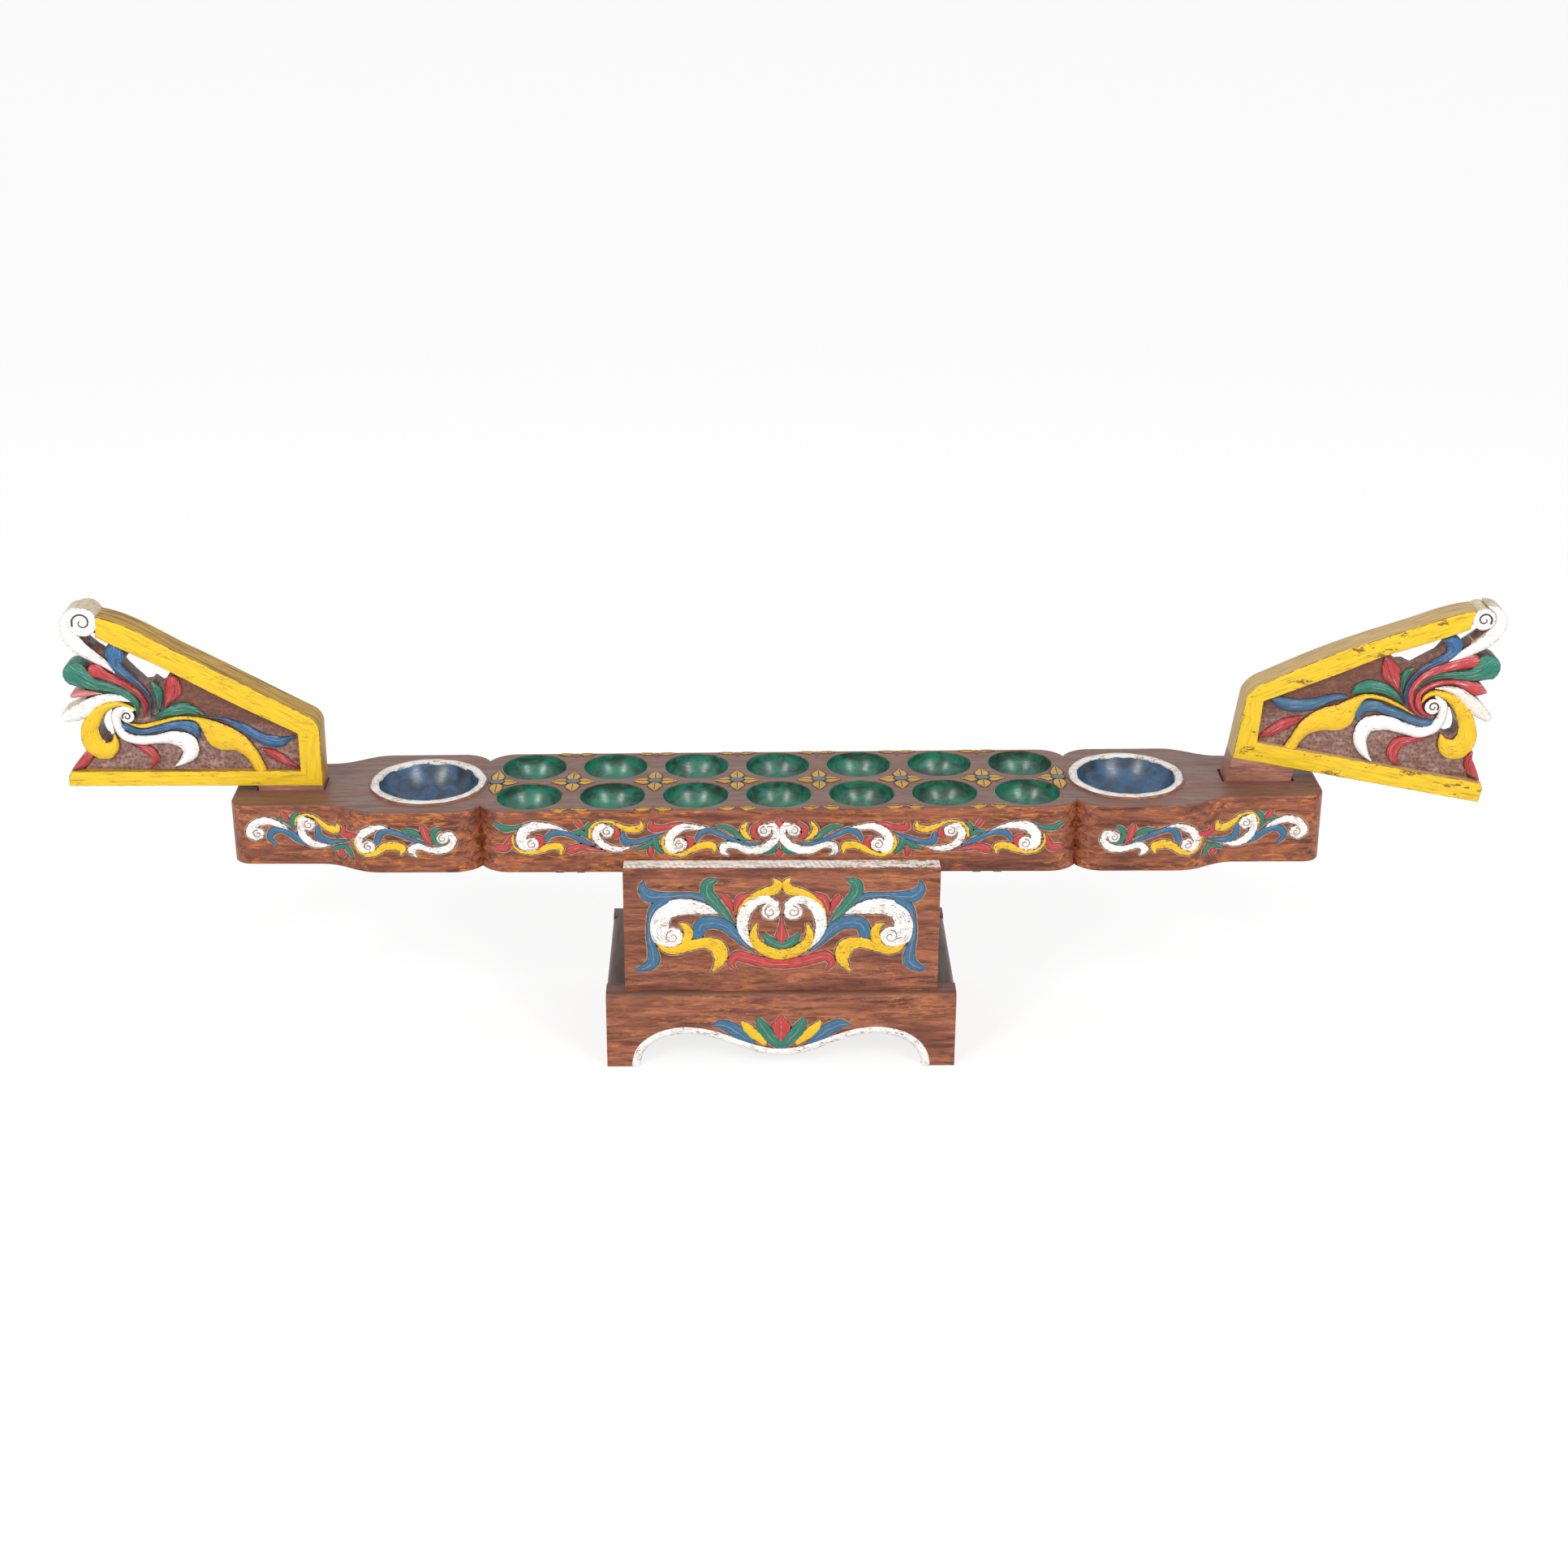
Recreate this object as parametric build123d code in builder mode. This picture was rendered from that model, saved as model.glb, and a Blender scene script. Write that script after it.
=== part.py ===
"""Sungka board: a carved mancala board with two pierced, carved wings on a wooden stand.

Millimetres, +Z up. X runs along the board and Y across it. The origin is on the table, under
the middle of the stand. The board lies in the stand's cradle, and each wing is a plank whose
tenon drops into a slot in one tail of the board.
"""

import math
import os

from build123d import *

# Board
board_length = 822.0
board_width = 114.0
left_thickness = 47.7
right_thickness = 54.4
board_offset_x = -2.0
board_edge_radius = 2.0
board_corner_radius = 14.0
tail_width = 82.0
taper_start_x = 298.0
taper_end_x = 346.0
waist_x = 223.0
waist_depth = 12.5
waist_reach = 21.0

# Pits
pit_columns = 7
pit_pitch = 62.5
pit_row_spacing = 57.0
pit_rim_diameter = 50.0
pit_depth = 24.0
head_x = 266.0
head_rim_diameter = 77.0
head_depth = 30.0
head_ring_width = 7.0
head_ring_height = 1.2
head_ring_slope = 0.8

# Wings
wing_thickness = 24.0
left_wing_length = 191.0
left_wing_height = 142.0
left_drawn_length = 191.0
left_drawn_height = 142.0
right_wing_length = 195.0
right_wing_height = 153.0
right_drawn_length = 195.0
right_drawn_height = 153.0
web_thickness = 14.0
leaf_thickness = 21.0
scroll_thickness = 23.0
left_strip_height = 12.0
right_strip_height = 15.6
strip_end_drop = 4.8
strip_end_bevel = 2.4
left_upright_width = 16.5
right_upright_width = 15.3
shoulder_radius = 14.0
right_shoulder_swell = 2.5
tenon_length = 49.0
tenon_depth = 30.0
left_root_x = 346.3
left_rise = 3.2
right_root_x = 342.1
right_rise = 19.3
right_lean = 11.0

# Slots in the tails
slot_side_clearance = 0.5
slot_floor_clearance = 0.3
left_slot_end_gap = 1.2
right_slot_end_gap = 0.5

# Stand
base_length = 266.0
base_depth = 154.0
base_height = 62.0
front_apron_thickness = 18.0
side_apron_thickness = 16.0
base_top_thickness = 12.0
base_edge_radius = 5.0
foot_width = 25.0
arch_crown_inset = 32.0
arch_crown_height = 27.6
arch_shoulder_x = 26.0
arch_shoulder_height = 14.2
arch_dip_height = 9.0
arch_bead_radius = 3.0
panel_end_ledge = 14.5
panel_thickness = 14.0
panel_height = 103.0
panel_edge_radius = 1.2
cradle_lap = 10.0
cradle_side_clearance = 0.6
rest_thickness = 14.0
rest_inset = 4.0
block_side = 20.0
block_height = 38.0
dowel_radius = 4.0
dowel_clearance = 0.05
dowel_length_up = 15.0
panel_dowel_bite = 8.0
panel_dowel_length = 26.0
panel_dowel_low = 24.0
panel_dowel_high = 70.0
rest_dowel_y = 32.0

# Worked-out places
panel_length = base_length - 2 * panel_end_ledge
panel_dowel_levels = (panel_dowel_low, panel_dowel_high)
arch_half_span = base_length / 2 - foot_width
arch_crown_x = arch_half_span - arch_crown_inset
panel_bottom = base_height
panel_top = panel_bottom + panel_height
board_bottom = panel_top - cradle_lap
mid_thickness = (left_thickness + right_thickness) / 2
board_rise = math.atan((right_thickness - left_thickness) / board_length)
panel_inner_y = board_width / 2 + cradle_side_clearance
rest_outer_x = panel_length / 2 - rest_inset
rest_inner_x = rest_outer_x - rest_thickness
lean = math.radians(right_lean)
drilled = (Align.CENTER, Align.CENTER, Align.MIN)


def top_at(x):
    """Height of the board's upper face at a place along the board, which is thicker to the right."""
    return board_bottom + mid_thickness + (x - board_offset_x) * math.tan(board_rise)


os.makedirs("parts", exist_ok=True)

# Wing ornament. Each stroke is a list of (out, up, half width) along its middle, in millimetres
# on the drawn wing, out from the wing's inner edge and up from its lower edge.
LEFT_LEAVES = (
    [(148, 105, 7.3), (148, 96.5, 4.8), (139.5, 87, 2.9), (130.8, 79.3, 1.8), (125, 69.5, 1.4),
     (125.5, 54, 0.2)],
    [(163, 91.5, 6), (153.5, 86, 3.6), (142, 79.8, 2.8), (132.5, 71.5, 2.4), (128.7, 62, 2),
     (131.3, 53.5, 0.2)],
    [(178.5, 88.5, 9.5), (167, 81.3, 5.4), (155, 78.4, 4.2), (144.5, 74.3, 3.6), (136, 66, 2.9),
     (136.5, 52, 0.2)],
    [(182.5, 71.5, 1.6), (175, 73.2, 2.6), (160, 73.4, 0.3)],
    [(122, 81.5, 1.6), (119.2, 76.5, 3.5), (118.3, 69, 2.8), (120, 57.5, 0.3)],
    [(107, 83, 4.8), (107, 76, 6), (112, 67.5, 2.6), (115, 60, 0.3)],
    [(125, 53.5, 0.4), (112, 58.8, 4), (99, 61.2, 4.8), (85, 56, 0.3)],
    [(146, 47, 2.6), (136, 43, 2.5), (120, 45.5, 2.8), (104, 48.2, 3.9), (94.5, 45.5, 4.6),
     (90.5, 37, 0.3)],
    [(87, 55, 0.2), (70, 51.8, 1.8), (55, 44.5, 3.6), (43, 36.8, 4.3), (31, 34.7, 4.2), (19.5, 38.8, 0.2)],
    [(46, 29, 0.3), (37, 25, 3.4), (28, 18.8, 3.2), (17.5, 12.6, 0.2)],
    [(149, 38.5, 0.2), (139, 31.8, 1.4), (128.5, 27, 3.9), (125, 21, 3), (129.5, 12.6, 0.2)],
    [(173.5, 24, 2.5), (179, 18, 3.6), (189, 11, 0.4)],
)
LEFT_SCROLLS = (
    [(136, 60.5, 0.8), (146, 65.2, 1.6), (157, 63.5, 3.2), (166.2, 56, 5.2), (171.8, 45, 6.6), (169, 32, 8),
     (161, 28, 7), (154.2, 33.5, 3.6), (153.7, 41.5, 0.3)],
    [(139, 60.5, 1.6), (145, 61.5, 2.6), (150.5, 57.5, 4), (151.2, 50.5, 3.5), (145.5, 39.2, 3.6),
     (135, 36.4, 3.8), (122, 37.2, 3.6), (109.2, 38, 5.6), (99, 33, 7), (98.5, 26, 5.8), (103.5, 20, 3.2),
     (111.5, 14.5, 0.2)],
    [(144, 50.3, 0.2), (134, 47.6, 1.6), (120, 50.4, 1.6), (104.7, 54, 1.5), (91, 52.8, 2.2), (83, 47, 6.5),
     (75, 39.5, 10.3), (62, 34.5, 7.4), (52.5, 25, 5), (46.2, 11.5, 4.5)],
    [(177, 131, 5.5), (177.5, 120, 6), (172, 110.5, 5.2), (163.5, 103.5, 4.2), (155.5, 97, 2.6),
     (148.5, 89.5, 0.2)],
    [(187.5, 55.5, 4.4), (178, 58.8, 6), (167.2, 66.2, 4.6), (157, 69.9, 3.6), (146.8, 69.8, 2.6),
     (139, 67.2, 0.3)],
)
LEFT_EYES = ((168.7, 130.7, 11.0), (142.7, 56.2, 5.2))
LEFT_WEB = [(10, 6), (184, 6), (171, 22), (172, 48), (170, 60), (163, 73), (168, 82), (166, 94), (176, 112),
       (172, 126), (158, 126), (10, 46)]
LEFT_OPENINGS = (
    [(141, 112), (139, 103), (143.5, 99.5), (143.5, 95.5), (137, 88), (129, 80.8), (124, 81.5), (118, 80),
     (114.5, 80.5), (112.5, 84), (107.5, 91), (111, 98)],
    [(171.5, 122), (163, 126), (151, 119), (150, 112), (155, 108.5), (157, 105), (160, 107.5), (166, 110),
     (170, 116)],
    [(164.5, 37), (159.5, 34), (156, 36), (154.5, 40), (155, 46), (155.3, 54), (154.5, 61), (158, 58),
     (163, 52), (166.5, 45)],
)
LEFT_BEAM_LOWER = [(16.5, 42), (74.7, 72.8), (120, 98.5), (154.7, 116), (168, 122)]
LEFT_BEAM_UPPER = [(168, 136), (155.7, 134), (94.7, 103.9), (26.7, 66.7), (6.7, 55.7)]
LEFT_DRAWING = (
    LEFT_LEAVES, LEFT_SCROLLS, LEFT_EYES, LEFT_WEB, LEFT_OPENINGS, LEFT_BEAM_LOWER, LEFT_BEAM_UPPER,
)

# The right wing is a taller carving of the same ornament.
RIGHT_LEAVES = (
    [(138, 120, 7.4), (139.3, 111.3, 5), (132.7, 104, 3.4), (124, 96, 2.4), (118, 86.6, 1.8),
     (115.6, 78.6, 1.5), (119.3, 68.6, 1.2), (122, 65, 0.2)],
    [(156.7, 108.6, 5.6), (147.3, 104, 4.2), (138, 99.3, 3.4), (127.3, 93.3, 2.7), (120.7, 85.3, 2.2),
     (118.7, 77.3, 2), (122.7, 68, 1.5), (125.3, 63, 0.2)],
    [(172, 108, 9.5), (163.5, 99.8, 5.5), (154, 96, 3.6), (141, 92.6, 2.6), (130, 87.3, 2),
     (124, 79.8, 1.4), (123.3, 73, 0.2)],
    [(174.5, 86.6, 1.2), (168.7, 87.6, 3.6), (154, 90.4, 2.6), (140.7, 88, 2.6), (131.3, 82.6, 3),
     (126, 74.6, 3), (127.3, 66.6, 3), (132.7, 60, 2), (140.7, 59, 0.3)],
    [(116, 93.3, 1.6), (111.3, 86.6, 3), (110, 80, 2.6), (111.3, 74, 0.3)],
    [(92, 100, 0.6), (99.3, 89.3, 6.6), (107.3, 78.6, 3), (111.3, 73, 0.3)],
    [(75.6, 66.6, 0.5), (80.7, 72, 4), (92.7, 74, 5.4), (104.7, 72, 4.2), (117.3, 65.3, 0.3)],
    [(84.7, 46, 0.3), (86, 54, 5), (99.3, 59.3, 4.2), (111.3, 58, 3.8), (124.7, 54.6, 3), (138, 54.6, 2.8),
     (142.7, 57.3, 0.3)],
    [(15.3, 51.3, 0.4), (23.3, 48, 3.5), (34, 48, 5), (47.3, 52.6, 4.6), (59.3, 58, 3), (73, 62.6, 0.8)],
    [(45.3, 41.3, 0.2), (36.7, 37.3, 3), (26, 28, 3.6), (15.3, 16.6, 0.4)],
    [(146, 46.6, 0.2), (138, 41.3, 2), (127.3, 36.6, 3.4), (120, 30, 4.6), (122, 21.3, 3.2),
     (127.3, 15.6, 0.3)],
    [(178.7, 37.3, 0.6), (180, 28, 3.2), (184.7, 22.6, 3), (192, 16, 0.3)],
)
RIGHT_SCROLLS = (
    [(128.7, 72, 1.5), (135.3, 79.3, 2.4), (144.7, 80, 2.6), (156.7, 74.6, 4.5), (167.3, 64, 6),
     (172.7, 50.6, 6.6), (170.5, 38, 8.2), (163, 37, 7.6), (155.5, 40.6, 5), (151.3, 46.6, 0.4)],
    [(138, 75.3, 0.8), (145.3, 70.6, 3), (148, 62.6, 4.2), (146, 53.3, 4.5), (138, 46.6, 4.6),
     (122, 46.6, 4.2), (107.3, 47.3, 5.5), (93.5, 43, 6.4), (92, 32, 5.2), (98, 22.6, 3.2), (106, 16, 0.3)],
    [(126, 59.3, 0.4), (111.3, 64.6, 1.4), (98, 67.3, 1.6), (86, 66, 2.2), (77.5, 56, 6.5),
     (72.5, 47.5, 10.4), (60.7, 42.6, 9), (50, 34.6, 6.5), (44.7, 25.3, 4.6), (41.3, 14, 4.2)],
    [(165.3, 149, 4.6), (168.4, 142.6, 5.6), (167.3, 134.6, 6.2), (163.3, 126.3, 5.4), (154, 117.3, 4),
     (144.7, 110.6, 2.2), (139.3, 105.6, 0.2)],
    [(181.5, 66.5, 4.2), (172.7, 72, 5.5), (163.3, 81.3, 4.2), (150, 86, 2.6), (138, 83.3, 1.5),
     (135.3, 81.3, 0.3)],
)
RIGHT_EYES = ((154.6, 143.7, 8.4), (137.7, 69, 6.3))
RIGHT_WEB = [(8, 8), (188, 8), (176, 27), (175, 54), (170, 66), (159, 81), (162, 90), (158, 102),
             (160, 118), (164, 130), (162, 140), (150, 140), (8, 50)]
RIGHT_OPENINGS = (
    [(92, 101.6), (104, 110), (123.3, 121), (129.3, 114), (127, 108), (120.7, 101.3), (116, 95.3),
     (108.7, 97.3), (103.3, 96)],
    [(138, 130), (150.7, 138), (154.7, 135.3), (152.7, 129.3), (146.7, 121.3), (143.3, 124.6)],
    [(150, 68), (153.3, 69.3), (156.7, 64), (157, 57.3), (154, 50.6), (150.7, 49.3), (149.8, 57.3)],
)
RIGHT_BEAM_LOWER = [(11.3, 48.6), (58, 78.6), (92, 101.3), (123.3, 118.6), (150.7, 135.3)]
RIGHT_BEAM_UPPER = [(152, 150), (146, 147.3), (100.7, 123.3), (51.3, 94), (7, 62.6)]
RIGHT_DRAWING = (
    RIGHT_LEAVES, RIGHT_SCROLLS, RIGHT_EYES, RIGHT_WEB, RIGHT_OPENINGS, RIGHT_BEAM_LOWER, RIGHT_BEAM_UPPER,
)


def bent_side(points):
    """One side of a stroke: arcs, each through the next three of its points."""
    for start, middle, end in zip(points[::2], points[1::2], points[2::2]):
        ThreePointArc(start, middle, end)
    if len(points) % 2 == 0:
        Line(points[-2], points[-1])


def stroke(points, stretch, growth):
    """A carved leaf or scroll: a band round its middle line, with pointed or rounded ends."""
    middle = [Vector(out * stretch, up * growth) for out, up, half in points]
    halves = [half * growth for out, up, half in points]
    last = len(middle) - 1
    one_side = []
    other_side = []
    for i, centre in enumerate(middle):
        along = (middle[min(i + 1, last)] - middle[max(i - 1, 0)]).normalized()
        across = Vector(-along.Y, along.X) * halves[i]
        one_side.append(centre + across)
        other_side.append(centre - across)
    start_cap = middle[0] - (middle[1] - middle[0]).normalized() * halves[0]
    end_cap = middle[last] + (middle[last] - middle[last - 1]).normalized() * halves[last]
    with BuildLine() as edge:
        bent_side(one_side)
        ThreePointArc(one_side[last], end_cap, other_side[last])
        bent_side(other_side)
        ThreePointArc(one_side[0], start_cap, other_side[0])
    make_face(edge.edges())


def carved_wing(plane, label, drawing, stretch, growth, length, strip_height, upright_width, swell):
    """A pierced plank carved alike on both faces: ground, leaves, scrolls, frame and tenon."""
    leaves, scrolls, eyes, web, openings, beam_lower, beam_upper = drawing

    def on_wing(out, up):
        """A point of the drawn wing, at the size of the real one."""
        return (out * stretch, up * growth)

    with BuildPart() as wing:
        with BuildSketch(plane):
            with BuildLine():
                Polyline(*[on_wing(*point) for point in web], close=True)
            make_face()
            for opening in openings:
                with BuildLine():
                    Polyline(*[on_wing(*point) for point in opening], close=True)
                make_face(mode=Mode.SUBTRACT)
        extrude(amount=web_thickness / 2, both=True)
        with BuildSketch(plane):
            for leaf in leaves:
                stroke(leaf, stretch, growth)
        extrude(amount=leaf_thickness / 2, both=True)
        with BuildSketch(plane):
            for scroll in scrolls:
                stroke(scroll, stretch, growth)
            for out, up, radius in eyes:
                with Locations(on_wing(out, up)):
                    Circle(radius * growth)
        extrude(amount=scroll_thickness / 2, both=True)
        with BuildSketch(plane):
            with BuildLine():
                lower = Spline(*[on_wing(*point) for point in beam_lower])
                Line(lower @ 1, on_wing(*beam_upper[0]))
                upper = Spline(*[on_wing(*point) for point in beam_upper])
                shoulder = (-swell, (upper @ 1).Y - shoulder_radius)
                TangentArc(upper @ 1, shoulder, tangent=upper % 1)
                Line(shoulder, (0, 0))
                Line((0, 0), (length, 0))
                Polyline(
                    (length, 0),
                    (length, strip_height - strip_end_drop),
                    (length - strip_end_bevel, strip_height),
                    (upright_width, strip_height),
                    lower @ 0,
                )
            make_face()
            with Locations((0, 0)):
                Rectangle(tenon_length, tenon_depth, align=(Align.MIN, Align.MAX))
        extrude(amount=wing_thickness / 2, both=True)
    wing.part.label = label
    return wing


# Wings
left_plane = Plane(
    origin=(-left_root_x, 0, top_at(-left_root_x) + left_rise),
    x_dir=(-1, 0, 0),
    z_dir=(0, 1, 0),
)
right_plane = Plane(
    origin=(right_root_x, 0, top_at(right_root_x) + right_rise),
    x_dir=(math.cos(lean), 0, -math.sin(lean)),
    z_dir=(0, -1, 0),
)
left_wing = carved_wing(
    left_plane,
    "left_wing",
    LEFT_DRAWING,
    left_wing_length / left_drawn_length,
    left_wing_height / left_drawn_height,
    left_wing_length,
    left_strip_height,
    left_upright_width,
    0,
)
right_wing = carved_wing(
    right_plane,
    "right_wing",
    RIGHT_DRAWING,
    right_wing_length / right_drawn_length,
    right_wing_height / right_drawn_height,
    right_wing_length,
    right_strip_height,
    right_upright_width,
    right_shoulder_swell,
)

# Game board
left_slot_middle_x = -left_root_x - tenon_length / 2
left_slot_length = tenon_length + 2 * left_slot_end_gap
left_slot_floor = left_plane.origin.Z - tenon_depth - slot_floor_clearance
tenon_low_x = right_root_x - tenon_depth * math.sin(lean)
tenon_low_z = right_plane.origin.Z - tenon_depth * math.cos(lean) - tenon_length * math.sin(lean)
right_slot_inner_x = tenon_low_x - right_slot_end_gap
right_slot_outer_x = right_root_x + tenon_length * math.cos(lean) + right_slot_end_gap
right_slot_length = right_slot_outer_x - right_slot_inner_x
right_slot_floor = tenon_low_z - slot_floor_clearance
slot_width = wing_thickness + 2 * slot_side_clearance
half_width = board_width / 2
half_length = board_length / 2
half_tail = tail_width / 2
waist_y = half_width - waist_depth
pit_radius = (pit_rim_diameter**2 / 4 + pit_depth**2) / (2 * pit_depth)
head_radius = (head_rim_diameter**2 / 4 + head_depth**2) / (2 * head_depth)
ring_radius = head_rim_diameter / 2 + head_ring_width
board_plane = Plane(origin=(board_offset_x, 0, board_bottom))
top_plane = Plane(
    origin=(board_offset_x, 0, top_at(board_offset_x)),
    x_dir=(math.cos(board_rise), 0, math.sin(board_rise)),
    z_dir=(-math.sin(board_rise), 0, math.cos(board_rise)),
)

with BuildPart() as game_board:
    with BuildSketch(top_plane):
        with BuildLine():
            Line((0, half_width), (waist_x - waist_reach, half_width))
            TangentArc((waist_x - waist_reach, half_width), (waist_x, waist_y), tangent=(1, 0))
            TangentArc((waist_x + waist_reach, half_width), (waist_x, waist_y), tangent=(-1, 0))
            Line((waist_x + waist_reach, half_width), (taper_start_x, half_width))
            Spline(
                (taper_start_x, half_width),
                (taper_end_x, half_tail),
                tangents=((1, 0), (1, 0)),
            )
            Line((taper_end_x, half_tail), (half_length - board_corner_radius, half_tail))
            TangentArc(
                (half_length - board_corner_radius, half_tail),
                (half_length, half_tail - board_corner_radius),
                tangent=(1, 0),
            )
            Line((half_length, half_tail - board_corner_radius), (half_length, 0))
            mirror(about=Plane.YZ)
            mirror(about=Plane.XZ)
        make_face()
    extrude(amount=-(right_thickness + board_edge_radius))
    upper_face = game_board.faces().sort_by(Axis.Z)[-1]
    fillet(upper_face.edges(), board_edge_radius)
    split(bisect_by=board_plane, keep=Keep.TOP)
    with Locations(top_plane):
        with Locations((-head_x, 0), (head_x, 0)):
            Cone(
                ring_radius,
                ring_radius - head_ring_slope,
                head_ring_height,
                align=drilled,
            )
    with Locations(top_plane.offset(pit_radius - pit_depth)):
        with GridLocations(pit_pitch, pit_row_spacing, pit_columns, 2):
            Sphere(pit_radius, mode=Mode.SUBTRACT)
    with Locations(top_plane.offset(head_ring_height + head_radius - head_depth)):
        with Locations((-head_x, 0), (head_x, 0)):
            Sphere(head_radius, mode=Mode.SUBTRACT)
    with BuildSketch(Plane.XY.offset(left_slot_floor)):
        with Locations((left_slot_middle_x, 0)):
            Rectangle(left_slot_length, slot_width)
    extrude(amount=right_thickness, mode=Mode.SUBTRACT)
    with BuildSketch(Plane.XY.offset(right_slot_floor)):
        with Locations((right_slot_inner_x, 0)):
            Rectangle(right_slot_length, slot_width, align=(Align.MIN, Align.CENTER))
    extrude(amount=right_thickness, mode=Mode.SUBTRACT)
game_board.part.label = "game_board"


# Cradle
def cradle_panel(side, label):
    """A long upright of the cradle, with holes for the dowels that hold the rests to it."""
    inner = Plane(
        origin=(0, side * panel_inner_y, panel_bottom),
        x_dir=(-side, 0, 0),
        z_dir=(0, side, 0),
    )
    with BuildPart() as panel:
        with BuildSketch(inner):
            with Locations((0, panel_height / 2)):
                Rectangle(panel_length, panel_height)
        extrude(amount=panel_thickness)
        outer_top = panel.edges().filter_by(Axis.X).group_by(Axis.Z)[-1]
        fillet(outer_top, panel_edge_radius)
        with Locations(inner):
            with Locations(*panel_dowel_places()):
                Cylinder(
                    dowel_radius + dowel_clearance,
                    panel_dowel_bite,
                    align=drilled,
                    mode=Mode.SUBTRACT,
                )
    panel.part.label = label
    return panel


def panel_dowel_places():
    """Dowel centres on a panel's inner face: two in each rest's end."""
    middle = (rest_inner_x + rest_outer_x) / 2
    return [(x, level) for x in (-middle, middle) for level in panel_dowel_levels]


def cradle_rest(side, label):
    """A cross board between the panels. The game board lies on its upper edge."""
    middle = side * (rest_inner_x + rest_outer_x) / 2
    hole = dowel_radius + dowel_clearance
    depth = panel_dowel_length - panel_dowel_bite
    with BuildPart() as rest:
        with BuildSketch(Plane.XY.offset(panel_bottom)):
            with Locations((middle, 0)):
                Rectangle(rest_thickness, 2 * panel_inner_y)
        extrude(amount=board_bottom - panel_bottom)
        for end in (-1, 1):
            face = Plane(
                origin=(middle, end * panel_inner_y, panel_bottom),
                x_dir=(end, 0, 0),
                z_dir=(0, -end, 0),
            )
            with Locations(face):
                with Locations(*[(0, level) for level in panel_dowel_levels]):
                    Cylinder(hole, depth, align=drilled, mode=Mode.SUBTRACT)
        with Locations(Plane.XY.offset(panel_bottom)):
            with Locations((middle, -rest_dowel_y), (middle, rest_dowel_y)):
                Cylinder(hole, dowel_length_up, align=drilled, mode=Mode.SUBTRACT)
    rest.part.label = label
    return rest


cradle_front_panel = cradle_panel(-1, "cradle_front_panel")
cradle_back_panel = cradle_panel(1, "cradle_back_panel")
cradle_left_rest = cradle_rest(-1, "cradle_left_rest")
cradle_right_rest = cradle_rest(1, "cradle_right_rest")


# Base
def long_apron(side, label):
    """A long side of the base, cut below to the scalloped arch, with a rounded upper edge."""
    outer_y = side * base_depth / 2
    outer = Plane(origin=(0, outer_y, 0), x_dir=(-side, 0, 0), z_dir=(0, side, 0))
    with BuildPart() as apron:
        with BuildSketch(outer):
            with Locations((0, base_height / 2)):
                Rectangle(base_length, base_height)
            with BuildLine():
                arch = Spline(
                    (0, arch_dip_height),
                    (arch_shoulder_x, arch_shoulder_height),
                    (arch_crown_x, arch_crown_height),
                    (arch_half_span, 0),
                    tangents=((1, 0), (0, -1)),
                )
                mirror(about=Plane.YZ)
                Line((-arch_half_span, 0), (arch_half_span, 0))
            make_face(mode=Mode.SUBTRACT)
        extrude(amount=-front_apron_thickness)
        edge = apron.edges().filter_by(Axis.X).group_by(Axis.Z)[-1].sort_by(Axis.Y)
        fillet(edge[-1] if side > 0 else edge[0], base_edge_radius)
        arch_edges = apron.edges().filter_by(GeomType.BSPLINE).group_by(Axis.Y)
        fillet(arch_edges[-1] if side > 0 else arch_edges[0], arch_bead_radius)
    apron.part.label = label
    return apron


def side_apron(side, label):
    """A short side of the base, between the two long ones."""
    with BuildPart() as apron:
        with BuildSketch(Plane.XY):
            with Locations((side * (base_length - side_apron_thickness) / 2, 0)):
                Rectangle(side_apron_thickness, base_depth - 2 * front_apron_thickness)
        extrude(amount=base_height)
        edge = apron.edges().filter_by(Axis.Y).group_by(Axis.Z)[-1].sort_by(Axis.X)
        fillet(edge[-1] if side > 0 else edge[0], base_edge_radius)
    apron.part.label = label
    return apron


base_front_apron = long_apron(-1, "base_front_apron")
base_back_apron = long_apron(1, "base_back_apron")
base_left_apron = side_apron(-1, "base_left_apron")
base_right_apron = side_apron(1, "base_right_apron")

inner_length = base_length - 2 * side_apron_thickness
inner_depth = base_depth - 2 * front_apron_thickness
rest_middle = (rest_inner_x + rest_outer_x) / 2
rest_dowel_places = [(x, y) for x in (-rest_middle, rest_middle) for y in (-rest_dowel_y, rest_dowel_y)]
base_top_bottom = base_height - base_top_thickness

with BuildPart() as base_top:
    with BuildSketch(Plane.XY.offset(base_top_bottom)):
        Rectangle(inner_length, inner_depth)
    extrude(amount=base_top_thickness)
    with Locations(Plane.XY.offset(base_height)):
        with Locations(*rest_dowel_places):
            Hole(dowel_radius + dowel_clearance)
base_top.part.label = "base_top"

with BuildPart() as corner_blocks:
    with BuildSketch(Plane.XY.offset(base_top_bottom)):
        with GridLocations(inner_length - block_side, inner_depth - block_side, 2, 2):
            Rectangle(block_side, block_side)
    extrude(amount=-block_height)
corner_blocks.part.label = "corner_blocks"

# Dowels
with BuildPart() as rest_dowels:
    with BuildSketch(Plane.XY.offset(base_top_bottom)):
        with Locations(*rest_dowel_places):
            Circle(dowel_radius)
    extrude(amount=base_top_thickness + dowel_length_up)
rest_dowels.part.label = "rest_dowels"

with BuildPart() as panel_dowels:
    for side in (-1, 1):
        bite_plane = Plane(
            origin=(0, side * (panel_inner_y + panel_dowel_bite), panel_bottom),
            x_dir=(-side, 0, 0),
            z_dir=(0, side, 0),
        )
        with BuildSketch(bite_plane):
            with Locations(*panel_dowel_places()):
                Circle(dowel_radius)
        extrude(amount=-panel_dowel_length)
panel_dowels.part.label = "panel_dowels"

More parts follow.
